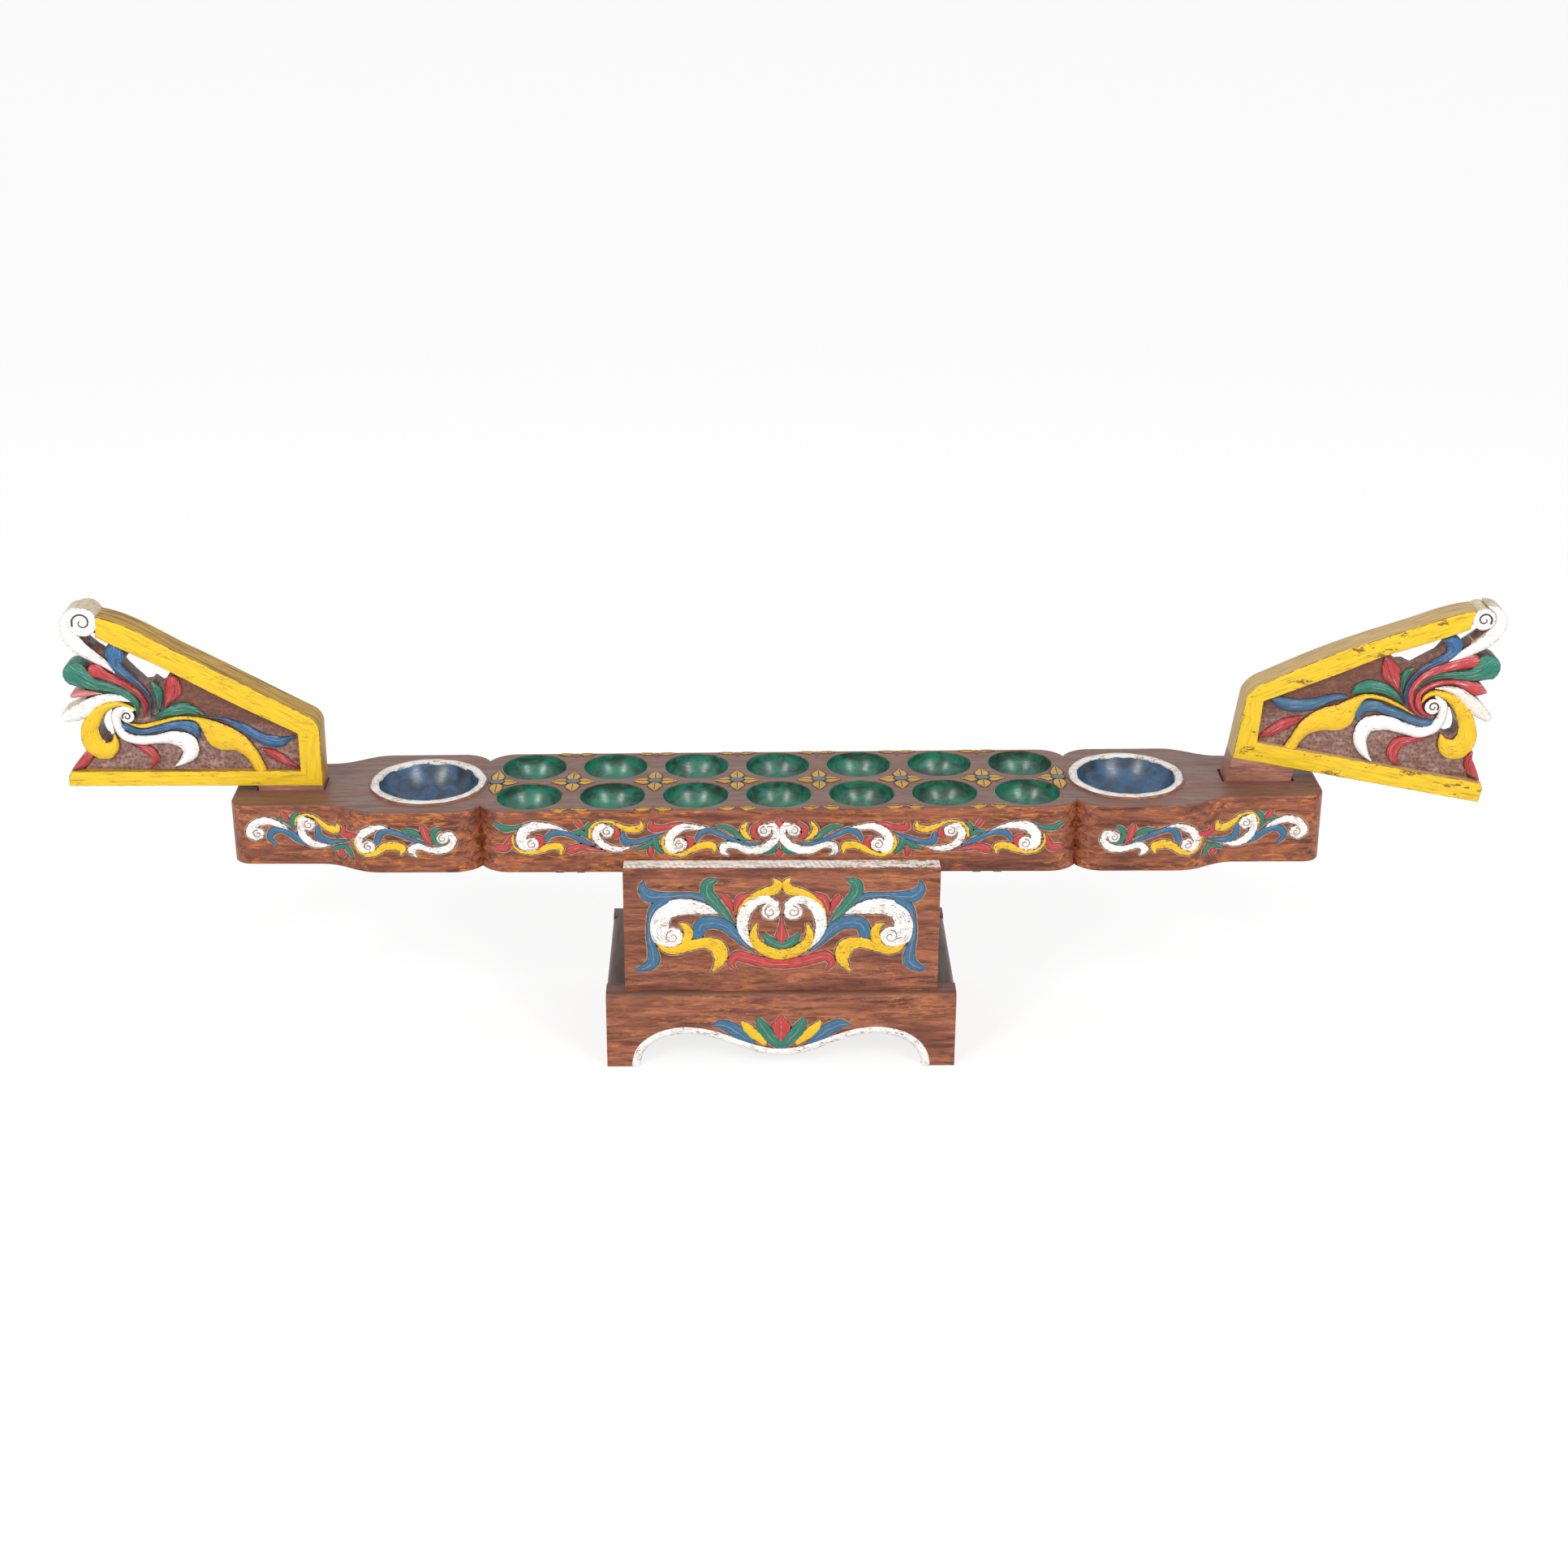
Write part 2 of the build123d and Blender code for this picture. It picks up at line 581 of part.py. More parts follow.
for piece in (
    game_board,
    left_wing,
    right_wing,
    cradle_front_panel,
    cradle_back_panel,
    cradle_left_rest,
    cradle_right_rest,
    base_front_apron,
    base_back_apron,
    base_left_apron,
    base_right_apron,
    base_top,
    corner_blocks,
    rest_dowels,
    panel_dowels,
):
    export_step(piece.part, f"parts/{piece.part.label}.step")
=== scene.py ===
"""The look of the sungka board: stained and varnished wood, worn enamel scroll work, lacquered pits.

Sizes are in millimetres and become metres where a mesh is made. X runs along the board, Y away from
the photographed side, Z up. A drawn stroke is a list of (x, z, half width) along its middle.
"""

import math

import bmesh
import bpy
from mathutils import Matrix, Vector, noise
from mathutils.bvhtree import BVHTree


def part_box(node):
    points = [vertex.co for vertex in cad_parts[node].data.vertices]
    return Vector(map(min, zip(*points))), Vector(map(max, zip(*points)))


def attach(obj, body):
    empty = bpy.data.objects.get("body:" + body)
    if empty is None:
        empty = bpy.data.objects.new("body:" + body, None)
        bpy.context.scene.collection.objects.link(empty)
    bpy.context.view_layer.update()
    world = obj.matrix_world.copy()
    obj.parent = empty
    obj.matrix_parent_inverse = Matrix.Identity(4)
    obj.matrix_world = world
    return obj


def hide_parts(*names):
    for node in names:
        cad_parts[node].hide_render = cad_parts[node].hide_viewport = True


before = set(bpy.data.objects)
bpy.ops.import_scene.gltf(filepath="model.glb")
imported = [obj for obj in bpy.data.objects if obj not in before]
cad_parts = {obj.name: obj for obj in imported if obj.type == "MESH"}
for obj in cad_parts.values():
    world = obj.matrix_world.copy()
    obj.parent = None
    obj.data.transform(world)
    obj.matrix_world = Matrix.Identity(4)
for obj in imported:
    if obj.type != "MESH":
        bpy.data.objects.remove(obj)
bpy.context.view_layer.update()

MM = 0.001
BOARD_MIDDLE = -2.0
BOARD_LENGTH = 822.0
LEFT_THICKNESS = 47.7
RIGHT_THICKNESS = 54.4
PIT_PITCH = 62.5
PIT_ROW_Y = 28.5
PIT_RIM_RADIUS = 25.0
PIT_DEPTH = 24.0
HEAD_X = 266.0
HEAD_RIM_RADIUS = 38.5
HEAD_DEPTH = 30.0
HEAD_RING_HEIGHT = 1.2
HEAD_PAINT_WIDTH = 5.0
FLOWER_Y = -1.0
END_FLOWER_X = 214.0
ARCH_BEAD_RADIUS = 3.0
ARCH_CROWN_X = 76.0

WING_THICKNESS = 24.0
WEB_THICKNESS = 14.0
LEAF_THICKNESS = 21.0
SCROLL_THICKNESS = 23.0
TENON_LENGTH = 49.0
TENON_DEPTH = 30.0
RIGHT_LEAN = math.radians(11.0)
# Leaves farther out or up than these are painted on their sides too
PAINTED_TIPS = 172.0
PAINTED_VOLUTE = 121.0
# Eyes above this one end the beam and stand proud of it
BEAM_EYE_UP = 100.0

# How strokes are cut: stations along them, ends that stay pointed, and the fold of a tight inner bend
STROKE_STEP = 1.3
VEIN_STEP = 3.0
POINTED_END = 0.9
LEAST_HALF = 0.1
TIGHTEST_BEND = 0.85

# Grooves reach past their strokes, and fine lines are cut along the wide ones of three colours
STROKE_GROOVE = 1.15
EYE_GROOVE = 1.1
FLOWER_GROOVE = 1.0
VEINED = ("blue", "green", "red")
VEINED_HALF = 2.6
VEIN_HALF = 0.2
FLOWER_VEIN_HALF = 0.3
WING_VEIN_ASIDE = -0.2
WING_VEIN_DEPTH = 2.2
WING_CURL_DEPTH = 1.6
WING_CUT_PROUD = 0.15

# How far the wings' carved forms drop to their rims and rise over their nominal thickness
LEAF_DROP = 2.4
LEAF_RISE = 0.2
EYE_DROP = 1.2
EYE_RISE = 0.2
BEAM_EYE_RISE = 1.3

# Lacquer: its upper and lower skins over the wood, how far below the rim it starts, how it wanders
LACQUER_SKINS = (0.55, 0.05)
PIT_LACQUER_START = 0.5
HEAD_LACQUER_START = 1.0
WANDER_LENGTH = 9.0
BOWL_STEPS = 12

# Angles in degrees over which edges stay sharp
RELIEF_SHARP = 50
PLATE_SHARP = 40
BEAD_SHARP = 60

# Ornament of the stand's panel, drawn left of the middle line
PANEL_STROKES = {
    "white": (
        [(-46, 127, 0), (-60, 131.5, 5), (-75, 133, 6.5), (-87, 129, 7), (-92, 119, 7.5), (-89, 108, 8),
         (-83, 106, 7)],
        [(-21.5, 98, 0), (-28, 109, 3.5), (-29.5, 120, 4.5), (-27, 130, 5), (-20, 137.5, 4.5),
         (-12, 139, 3.5), (-5, 135, 3)],
    ),
    "blue": (
        [(-51, 134, 0.5), (-62, 141, 2.5), (-76, 142.5, 2), (-90, 141.5, 3.5), (-99, 142, 5),
         (-104, 148, 3), (-103, 155, 0)],
        [(-88, 138, 4), (-96, 131, 3), (-99.5, 120, 1.5), (-99.5, 108, 2), (-97, 96, 3.5),
         (-97, 87, 4.5), (-103, 82, 3), (-110, 80.5, 0.6)],
        [(-63, 110, 4), (-60, 118, 5), (-52, 120, 5), (-43, 117.5, 4.5), (-35, 110, 3.5), (-28, 102, 2),
         (-21, 95.5, 0)],
    ),
    "yellow": (
        [(-95, 103.5, 0.5), (-85, 96.5, 3), (-70, 100, 4), (-58, 103, 4.5), (-48, 99, 6), (-46, 90, 5),
         (-53, 77.5, 0)],
        [(-72, 104, 3.5), (-70, 112, 3.5), (-74, 118, 2), (-78, 119.5, 0)],
        [(-33.5, 121, 0.5), (-31.5, 131, 1), (-25, 139, 2), (-14, 145, 3), (-6, 147, 4), (-3, 151, 3.5),
         (-7, 157.5, 0)],
    ),
    "green": (
        [(-48, 155.5, 0.5), (-55, 152, 4), (-56, 145, 4.5), (-50, 136, 4), (-43, 127, 3), (-35, 118, 0)],
    ),
    "red": (
        [(-43, 141, 2), (-40, 137, 2.5), (-37, 129, 0.5)],
        [(-25, 143, 1.5), (-31, 139.5, 3), (-34, 133, 2), (-35, 127, 0.5)],
    ),
}
PANEL_CROSSING = {
    "yellow": [(-18.5, 120, 0.5), (-21, 112, 2.5), (-20, 104, 4), (-13, 97, 4.2), (0, 93, 4.4)],
    "green": [(-13, 109.5, 1.2), (-9.5, 105, 3), (0, 100.5, 2.8)],
    "red": [(-34, 79.5, 0.3), (-38, 86, 2.6), (-34.5, 91.5, 3.6), (-26, 90, 4), (-14, 86.6, 4),
            (0, 84.8, 3.4)],
}
PANEL_MIDDLE = {"red": ([(0, 127, 0.5), (0, 120, 1.2), (0, 113.5, 2.8), (0, 109, 4.3), (0, 105, 3),
                        (0, 101, 0.4)],)}
PANEL_EYES = [(-82, 108, 8), (-8.5, 129, 7)]

# Ornament of the board's front between the waists, drawn left of its middle line
BOARD_STROKES = {
    "white": (
        [(-159, 188.5, 0), (-168, 191.5, 1.5), (-179, 193, 3), (-189, 191, 4), (-194, 184, 4),
         (-192, 177, 4), (-187, 176.5, 4)],
        [(-111, 176, 0), (-120, 174, 2), (-129, 175, 2.5), (-136, 180, 3), (-138.5, 187, 3),
         (-134, 192, 3), (-130, 190, 2.6)],
        [(-54, 191.5, 0), (-63, 191.5, 2), (-72, 192, 2.8), (-80, 188, 3.5), (-84, 181, 3.5),
         (-82, 174, 4), (-77, 176, 3.4)],
        [(-12, 190, 2.2), (-6.5, 192.5, 3), (-3.8, 187, 2.8), (-7, 179, 3.5), (-16, 173.5, 3.5),
         (-26, 173, 3), (-36, 177, 2.5), (-43, 176, 3), (-44, 172.5, 2.6), (-39, 168, 0)],
    ),
    "yellow": (
        [(-200, 186, 0.8), (-200.5, 179, 1), (-197, 173.5, 1.2), (-187, 171, 1.5), (-178, 174, 2.5),
         (-170, 176.5, 3), (-165, 175, 2.8), (-165, 169, 0)],
        [(-143, 184, 1.2), (-142, 191, 1.2), (-136, 195.8, 1), (-127, 196, 1), (-119, 192, 2),
         (-110, 190, 3), (-105, 192, 2.5), (-105, 197, 0)],
        [(-88, 184, 1), (-89, 178, 1.2), (-86, 172, 1.5), (-80, 169, 1.5), (-73, 170, 1.8),
         (-66, 174, 2.5), (-58, 177, 3), (-51, 176, 2.8), (-50, 169.5, 0)],
        [(-26, 195.5, 1), (-29, 190, 2.2), (-26, 184, 1.8), (-20.5, 181, 0)],
    ),
    "blue": (
        [(-176, 181, 1), (-172, 186, 2), (-165, 187.5, 2), (-156, 185, 1.8), (-148, 180.5, 1.8),
         (-138, 176, 0)],
        [(-118.5, 186, 1.5), (-117, 180.5, 2.5), (-109, 179.5, 1.8), (-99, 182.5, 1.5), (-88, 187, 0)],
        [(-64, 181, 0.8), (-60, 187, 2), (-54, 189, 2), (-46, 186, 1.8), (-38, 182, 1.5),
         (-30, 178.5, 1.2), (-23, 177.5, 1), (-15, 179.5, 0)],
    ),
    "green": (
        [(-213, 194, 1.5), (-207, 191, 2.2), (-200, 191, 1.5), (-190, 195, 0)],
        [(-155, 187.5, 1), (-149, 187.5, 2), (-144, 183, 0)],
        [(-142, 196, 0.4), (-145, 191, 1.6), (-145.5, 186.5, 0.6)],
        [(-109, 174, 0.8), (-101, 176.5, 1.8), (-92, 183.5, 0.8)],
        [(-94.5, 181, 2), (-93, 175, 1.8), (-89.5, 171, 1.2)],
        [(-50, 192, 0.5), (-42, 191.5, 1.8), (-36, 188, 2), (-30, 182.5, 1.5), (-23, 181, 0)],
        [(-4, 180, 0.8), (-7, 173, 2.2), (-13, 170.5, 1.2)],
    ),
    "red": (
        [(-212, 174.5, 2.5), (-206, 175, 2.8), (-203, 180, 2), (-201.5, 185.5, 0)],
        [(-185, 185, 0.5), (-179.5, 181.5, 2.5), (-180.5, 175, 1.2)],
        [(-157.5, 173.5, 3.2), (-150, 175.5, 2.5), (-142, 174, 1.8), (-131, 172, 0)],
        [(-152.5, 196.5, 1.6), (-150.5, 193.5, 1.5), (-148, 190.5, 0.3)],
        [(-123, 191, 1), (-122.5, 186, 2.2), (-125.5, 182.5, 0.8)],
        [(-96.5, 197, 0.5), (-97, 192, 2.5), (-89, 191, 2), (-81, 193.5, 1.5), (-74, 195.5, 0)],
        [(-98, 176.5, 0.5), (-98, 171.5, 2.3), (-98, 167.5, 0.6)],
        [(-72, 183.5, 0.5), (-67.5, 180, 2.3), (-69.5, 174, 0.8)],
        [(-16, 195, 1), (-21, 190, 2), (-20.5, 185, 2), (-16.5, 181.5, 0.8)],
    ),
}
BOARD_MIDDLE_STROKES = {
    "red": ([(-2, 198.5, 1), (-2, 195, 2.8), (-2, 190, 0.4)], [(-2, 173.5, 0.8), (-2, 170, 2.5),
             (-2, 167, 0.6)]),
}
BOARD_EYES = [(-186, 178, 5.5), (-130, 188.5, 5), (-76, 177.5, 5.5), (-13, 189, 5)]

# Ornament of the head lobe and the tail, drawn on the left
LOBE_STROKES = {
    "white": (
        [(-291, 190.5, 0), (-298, 192, 1.5), (-306, 190, 2.8), (-313, 184.5, 3), (-315.5, 178, 3),
         (-312, 173, 3), (-308, 174, 2.6)],
        [(-252, 184.5, 2.2), (-247, 186, 2.5), (-244.5, 181, 2.5), (-249, 175, 3), (-258, 173, 2.5),
         (-266, 175, 2.2), (-272, 176.5, 2.5), (-276, 173, 3), (-272, 167.5, 0)],
        [(-366.5, 181, 0), (-374.5, 186.5, 2), (-385.5, 190.5, 3), (-395.5, 186.5, 3.2),
         (-398.5, 180, 2.8), (-394, 176.8, 2.8)],
        [(-353.5, 190, 2.2), (-359, 192.5, 2), (-360.5, 186.5, 2.5), (-359, 179.5, 3), (-353.5, 173, 3),
         (-345.5, 170.5, 2), (-335.5, 171.5, 0)],
    ),
    "yellow": (
        [(-319.5, 181, 1), (-317, 173, 1.2), (-311, 169, 1.5), (-303, 171, 2.2), (-296, 176, 3),
         (-288, 177, 3.5), (-283, 175, 3), (-284.5, 168.5, 0)],
        [(-364, 186.5, 0.8), (-362.5, 192.5, 1), (-356.5, 195.5, 1), (-349.5, 193.5, 1.3),
         (-343.5, 187.5, 2.2), (-337.5, 184.5, 3), (-332.5, 185.5, 3), (-332, 191.5, 0)],
    ),
    "blue": (
        [(-301, 180, 2), (-299, 186, 2.2), (-294, 189, 2), (-287, 187.5, 1.8), (-278, 183.5, 1.5),
         (-270, 180, 1), (-264, 178, 0)],
        [(-379.5, 171.5, 1), (-383.5, 176.5, 1.8), (-381.5, 181.5, 2.5), (-375.5, 183.5, 2.2),
         (-368.5, 180.5, 2.5), (-361.5, 174.5, 1.8), (-356, 170.5, 0)],
        [(-347.5, 184.5, 1.5), (-346.5, 177.5, 2.5), (-338.5, 174, 2), (-331.5, 175.5, 1.2),
         (-322.5, 178.5, 0)],
    ),
    "green": (
        [(-282, 189, 1), (-277, 188.5, 2), (-271, 186, 1.8), (-267.5, 182, 0)],
        [(-253, 191, 0.5), (-257, 190, 1.5), (-260, 185, 1.8), (-258, 180, 1.8), (-253, 177.5, 0.5)],
        [(-376.5, 192.5, 1), (-371.5, 191, 1.3), (-367.5, 187, 0.5)],
        [(-362.5, 196.5, 1), (-365.5, 192.5, 2), (-366, 185.5, 1)],
        [(-336.5, 168.5, 1.2), (-331.5, 170.5, 1.8), (-324.5, 173.5, 1)],
        [(-325.5, 172.5, 1.5), (-323, 168.5, 1.8), (-321, 164.5, 0.8)],
    ),
    "red": (
        [(-267, 192.5, 1.2), (-266, 189, 2.8), (-264.5, 184, 2.8), (-261, 177, 0.5)],
        [(-373, 197, 1), (-372, 194.5, 2.3), (-368.5, 190.5, 0.8)],
        [(-329.5, 170, 0.6), (-329.5, 165.5, 2.4), (-329.5, 162.5, 0.6)],
        [(-326.5, 188, 1), (-327.5, 183.5, 2.2), (-320.5, 182.5, 2.2), (-312.5, 185.5, 0)],
    ),
}
LOBE_EYES = [(-308, 176, 5), (-252.5, 183, 4.5), (-392.5, 180, 5), (-354, 187.5, 5)]

# Fan of petals over the dip of the base's arch, drawn left of the middle line
FAN_STROKES = {
    "green": ([(-17, 39.5, 2.2), (-14, 33.5, 4.4), (-9, 26, 4.6), (-2, 18.5, 3)],),
    "yellow": ([(-29.5, 38, 1.4), (-26, 33.5, 3.6), (-20.5, 27.5, 3.8), (-13, 20.5, 2.2)],),
    "blue": ([(-53, 35.5, 0.4), (-46, 36.3, 3.4), (-38, 33, 4.8), (-30, 27, 4.2), (-22, 21, 1.6)],),
}
FAN_MIDDLE = {"red": ([(0, 41.5, 2), (0, 37, 6.8), (0, 32, 6.6), (0, 26.5, 3.6), (0, 21.5, 0.5)],)}

# Wing ornament: (out, up, half width), out from the wing's inner edge and up from its lower edge
LEFT_LEAVES = (
    ("blue", [(148, 105, 7.3), (148, 96.5, 4.8), (139.5, 87, 2.9), (130.8, 79.3, 1.8), (125, 69.5, 1.4),
              (125.5, 54, 0.2)]),
    ("red", [(163, 91.5, 6), (153.5, 86, 3.6), (142, 79.8, 2.8), (132.5, 71.5, 2.4), (128.7, 62, 2),
             (131.3, 53.5, 0.2)]),
    ("green", [(178.5, 88.5, 9.5), (167, 81.3, 5.4), (155, 78.4, 4.2), (144.5, 74.3, 3.6),
               (136, 66, 2.9), (136.5, 52, 0.2)]),
    ("pink", [(182.5, 71.5, 1.6), (175, 73.2, 2.6), (160, 73.4, 0.3)]),
    ("green", [(122, 81.5, 1.6), (119.2, 76.5, 3.5), (118.3, 69, 2.8), (120, 57.5, 0.3)]),
    ("red", [(107, 83, 4.8), (107, 76, 6), (112, 67.5, 2.6), (115, 60, 0.3)]),
    ("green", [(125, 53.5, 0.4), (112, 58.8, 4), (99, 61.2, 4.8), (85, 56, 0.3)]),
    ("blue", [(146, 47, 2.6), (136, 43, 2.5), (120, 45.5, 2.8), (104, 48.2, 3.9), (94.5, 45.5, 4.6),
              (90.5, 37, 0.3)]),
    ("blue", [(87, 55, 0.2), (70, 51.8, 1.8), (55, 44.5, 3.6), (43, 36.8, 4.3), (31, 34.7, 4.2),
              (19.5, 38.8, 0.2)]),
    ("red", [(46, 29, 0.3), (37, 25, 3.4), (28, 18.8, 3.2), (17.5, 12.6, 0.2)]),
    ("red", [(149, 38.5, 0.2), (139, 31.8, 1.4), (128.5, 27, 3.9), (125, 21, 3), (129.5, 12.6, 0.2)]),
    ("red", [(173.5, 24, 2.5), (179, 18, 3.6), (189, 11, 0.4)]),
)
LEFT_SCROLLS = (
    ("yellow", [(136, 60.5, 0.8), (146, 65.2, 1.6), (157, 63.5, 3.2), (166.2, 56, 5.2), (171.8, 45, 6.6),
                (169, 32, 8), (161, 28, 7), (154.2, 33.5, 3.6), (153.7, 41.5, 0.3)]),
    ("white", [(139, 60.5, 1.6), (145, 61.5, 2.6), (150.5, 57.5, 4), (151.2, 50.5, 3.5),
               (145.5, 39.2, 3.6),
               (135, 36.4, 3.8), (122, 37.2, 3.6), (109.2, 38, 5.6), (99, 33, 7), (98.5, 26, 5.8),
               (103.5, 20, 3.2), (111.5, 14.5, 0.2)]),
    ("yellow", [(144, 50.3, 0.2), (134, 47.6, 1.6), (120, 50.4, 1.6), (104.7, 54, 1.5), (91, 52.8, 2.2),
                (83, 47, 6.5), (75, 39.5, 10.3), (62, 34.5, 7.4), (52.5, 25, 5), (46.2, 11.5, 4.5)]),
    ("white", [(170, 140.4, 0.8), (177, 137, 3.4), (180, 130, 5.4), (179.6, 120.5, 6.2),
               (173.8, 111, 5.6), (164.8, 103.8, 4.4), (155.5, 97, 2.8), (148.5, 89.5, 0.2)]),
    ("white", [(187.5, 55.5, 4.4), (178, 58.8, 6), (167.2, 66.2, 4.6), (157, 69.9, 3.6),
               (146.8, 69.8, 2.6), (139, 67.2, 0.3)]),
)
LEFT_WEB = [(10, 6), (184, 6), (171, 22), (172, 48), (170, 60), (163, 73), (168, 82), (166, 94),
            (176, 112), (172, 126), (158, 126), (10, 46)]
LEFT_OPENINGS = (
    [(141, 112), (139, 103), (143.5, 99.5), (143.5, 95.5), (137, 88), (129, 80.8), (124, 81.5),
     (118, 80), (114.5, 80.5), (112.5, 84), (107.5, 91), (111, 98)],
    [(171.5, 122), (163, 126), (151, 119), (150, 112), (155, 108.5), (157, 105), (160, 107.5),
     (166, 110), (170, 116)],
    [(164.5, 37), (159.5, 34), (156, 36), (154.5, 40), (155, 46), (155.3, 54), (154.5, 61), (158, 58),
     (163, 52), (166.5, 45)],
)
RIGHT_LEAVES = (
    ("blue", [(130, 120.3, 0.3), (135, 120.6, 3.4), (140.3, 118.5, 6.2), (141.2, 113, 5.4),
              (137.5, 107.5, 3.8),
              (131.5, 102.5, 2.8), (124.5, 96.7, 2.2), (119.3, 90, 1.8), (116.8, 84, 1.7),
              (115.6, 77.5, 1.6), (116.3, 71.5, 1.6), (120.4, 65.3, 0.3)]),
    ("rose", [(157.5, 108.5, 5.6), (149, 105, 5), (140.5, 100.3, 3.8), (131, 94.5, 3.4),
              (124.5, 88.5, 3),
              (120.8, 82, 2.6), (119.6, 75, 2.4), (121.5, 68.5, 2), (126, 62, 1.2), (132, 58, 0.3)]),
    ("green", [(170, 105, 10.5), (163.5, 99, 6), (156, 96.5, 4.2), (147, 94.8, 3), (138, 92.6, 2.4),
               (130, 88.8, 2), (125.5, 84, 1.6), (123, 79.5, 0.6)]),
    ("rose", [(176, 86.3, 0.6), (169.5, 87, 4.8), (159, 89, 3.6), (150, 89.8, 2.2), (143, 88.5, 1.8),
              (136.8, 85.8, 2), (130.2, 81.5, 2.2), (126.6, 76, 2), (126.5, 71, 2.4), (129, 65.5, 2.4),
              (134, 61.2, 1.8), (139.5, 59.8, 0.3)]),
    ("green", [(115.4, 94, 1.2), (112.6, 91, 2.6), (111, 85, 2.9), (111.6, 78.7, 1.8),
               (112.4, 73.2, 0.3)]),
    ("red", [(92, 100, 0.6), (99.3, 89.3, 6.6), (107.3, 78.6, 3), (111.3, 73, 0.3)]),
    ("green", [(76, 65.5, 0.6), (79.5, 70.5, 4), (87, 74.2, 5.2), (94, 74.8, 4.9), (101, 74, 4.4),
               (108, 71.5, 3), (117.8, 64.3, 0.3)]),
    ("slate", [(86.3, 45.2, 0.3), (84.8, 50, 2.8), (87, 56.5, 5), (95, 59.8, 4.6), (105, 58.5, 3.9),
               (116.4, 56.8, 3.6), (126.3, 54.4, 3.4), (134, 53.6, 3.4), (140.5, 55, 3),
               (142.8, 57.5, 0.6)]),
    ("slate", [(15.9, 52, 0.3), (21, 50.5, 3.2), (28, 48.8, 5), (36, 48.9, 5.2), (45, 50.8, 5),
               (53, 54.5, 4.2), (62, 60, 3), (70, 62.3, 2.2), (74, 62.8, 0.8)]),
    ("red", [(45, 41.8, 0.3), (41, 38.5, 2.6), (34, 33.7, 4.6), (27, 28, 4.4), (21, 22.5, 3),
             (16.2, 17.6, 0.4)]),
    ("red", [(146.7, 47, 0.3), (139.5, 42.6, 2.2), (130, 38.4, 3), (122, 34.5, 4.6), (119.8, 28, 5),
             (121.5, 22, 3.8), (127.3, 16.4, 0.4)]),
    ("red", [(179.5, 38, 0.8), (178.8, 31, 3), (182, 25, 3.8), (187, 20, 2.6), (191.5, 16.5, 0.4)]),
)
RIGHT_SCROLLS = (
    ("yellow", [(129.5, 69, 0.3), (130.8, 73.5, 1.6), (135, 78, 2.2), (144.6, 78.5, 2.8),
                (154, 75.2, 4.4),
                (162.5, 67.5, 5.6), (169.2, 57, 6.6), (171.2, 47, 8.2), (167.5, 39, 8.8),
                (160.5, 38.4, 7.8), (154.5, 42.4, 4.2), (150.8, 47.8, 0.3)]),
    ("white", [(138, 76.4, 0.8), (145.3, 71.6, 3), (147.6, 63, 3.8), (145.6, 53.4, 4.2),
               (138, 46.8, 4.4),
               (122, 47, 4.6), (107.3, 48.4, 5.8), (93.5, 43.4, 6.4), (92, 32, 5.2), (98, 22.6, 3.2),
               (106, 16, 0.3)]),
    ("yellow", [(126, 59.3, 0.4), (111.3, 64.6, 1.4), (98, 67.3, 1.6), (86, 66, 2.2), (77.5, 56, 6.5),
                (72.5, 47.5, 10.4), (60.7, 42.6, 9), (50, 34.6, 6.5), (44.7, 25.3, 4.6),
                (41.3, 14, 4.6)]),
    ("white", [(156, 152.6, 0.6), (163.5, 150.2, 3.2), (168.6, 143.6, 5), (168.2, 135.6, 5.6),
               (163.4, 126.6, 5.4), (155.4, 118.6, 4.4), (147.6, 111.6, 3), (140, 105.2, 0.3)]),
    ("cream", [(181.5, 67.4, 3.6), (173.5, 71.8, 5.4), (164, 77.6, 5), (153, 83, 3.6), (144, 83.8, 2),
               (136, 82.4, 0.3)]),
)
RIGHT_WEB = [(8, 8), (188, 8), (176, 27), (175, 54), (170, 66), (159, 81), (162, 90), (158, 102),
             (160, 118), (164, 130), (162, 143), (150, 144), (8, 54)]
RIGHT_OPENINGS = (
    [(92, 101.6), (104, 110), (129, 124), (135.5, 117), (131.5, 109), (122.5, 101.3), (116, 95.3),
     (108.7, 97.3), (103.3, 96)],
    [(136.5, 128.5), (150, 137.5), (158, 138), (159.5, 131.5), (154, 123.5), (147.5, 118.2),
     (143.5, 122.5)],
    [(150.6, 69), (153.4, 69.4), (158, 64.4), (161.6, 59), (163.4, 53.6), (162, 49), (158.5, 46.8),
     (155, 47.2), (151.6, 49.4), (150.6, 57.3)],
)
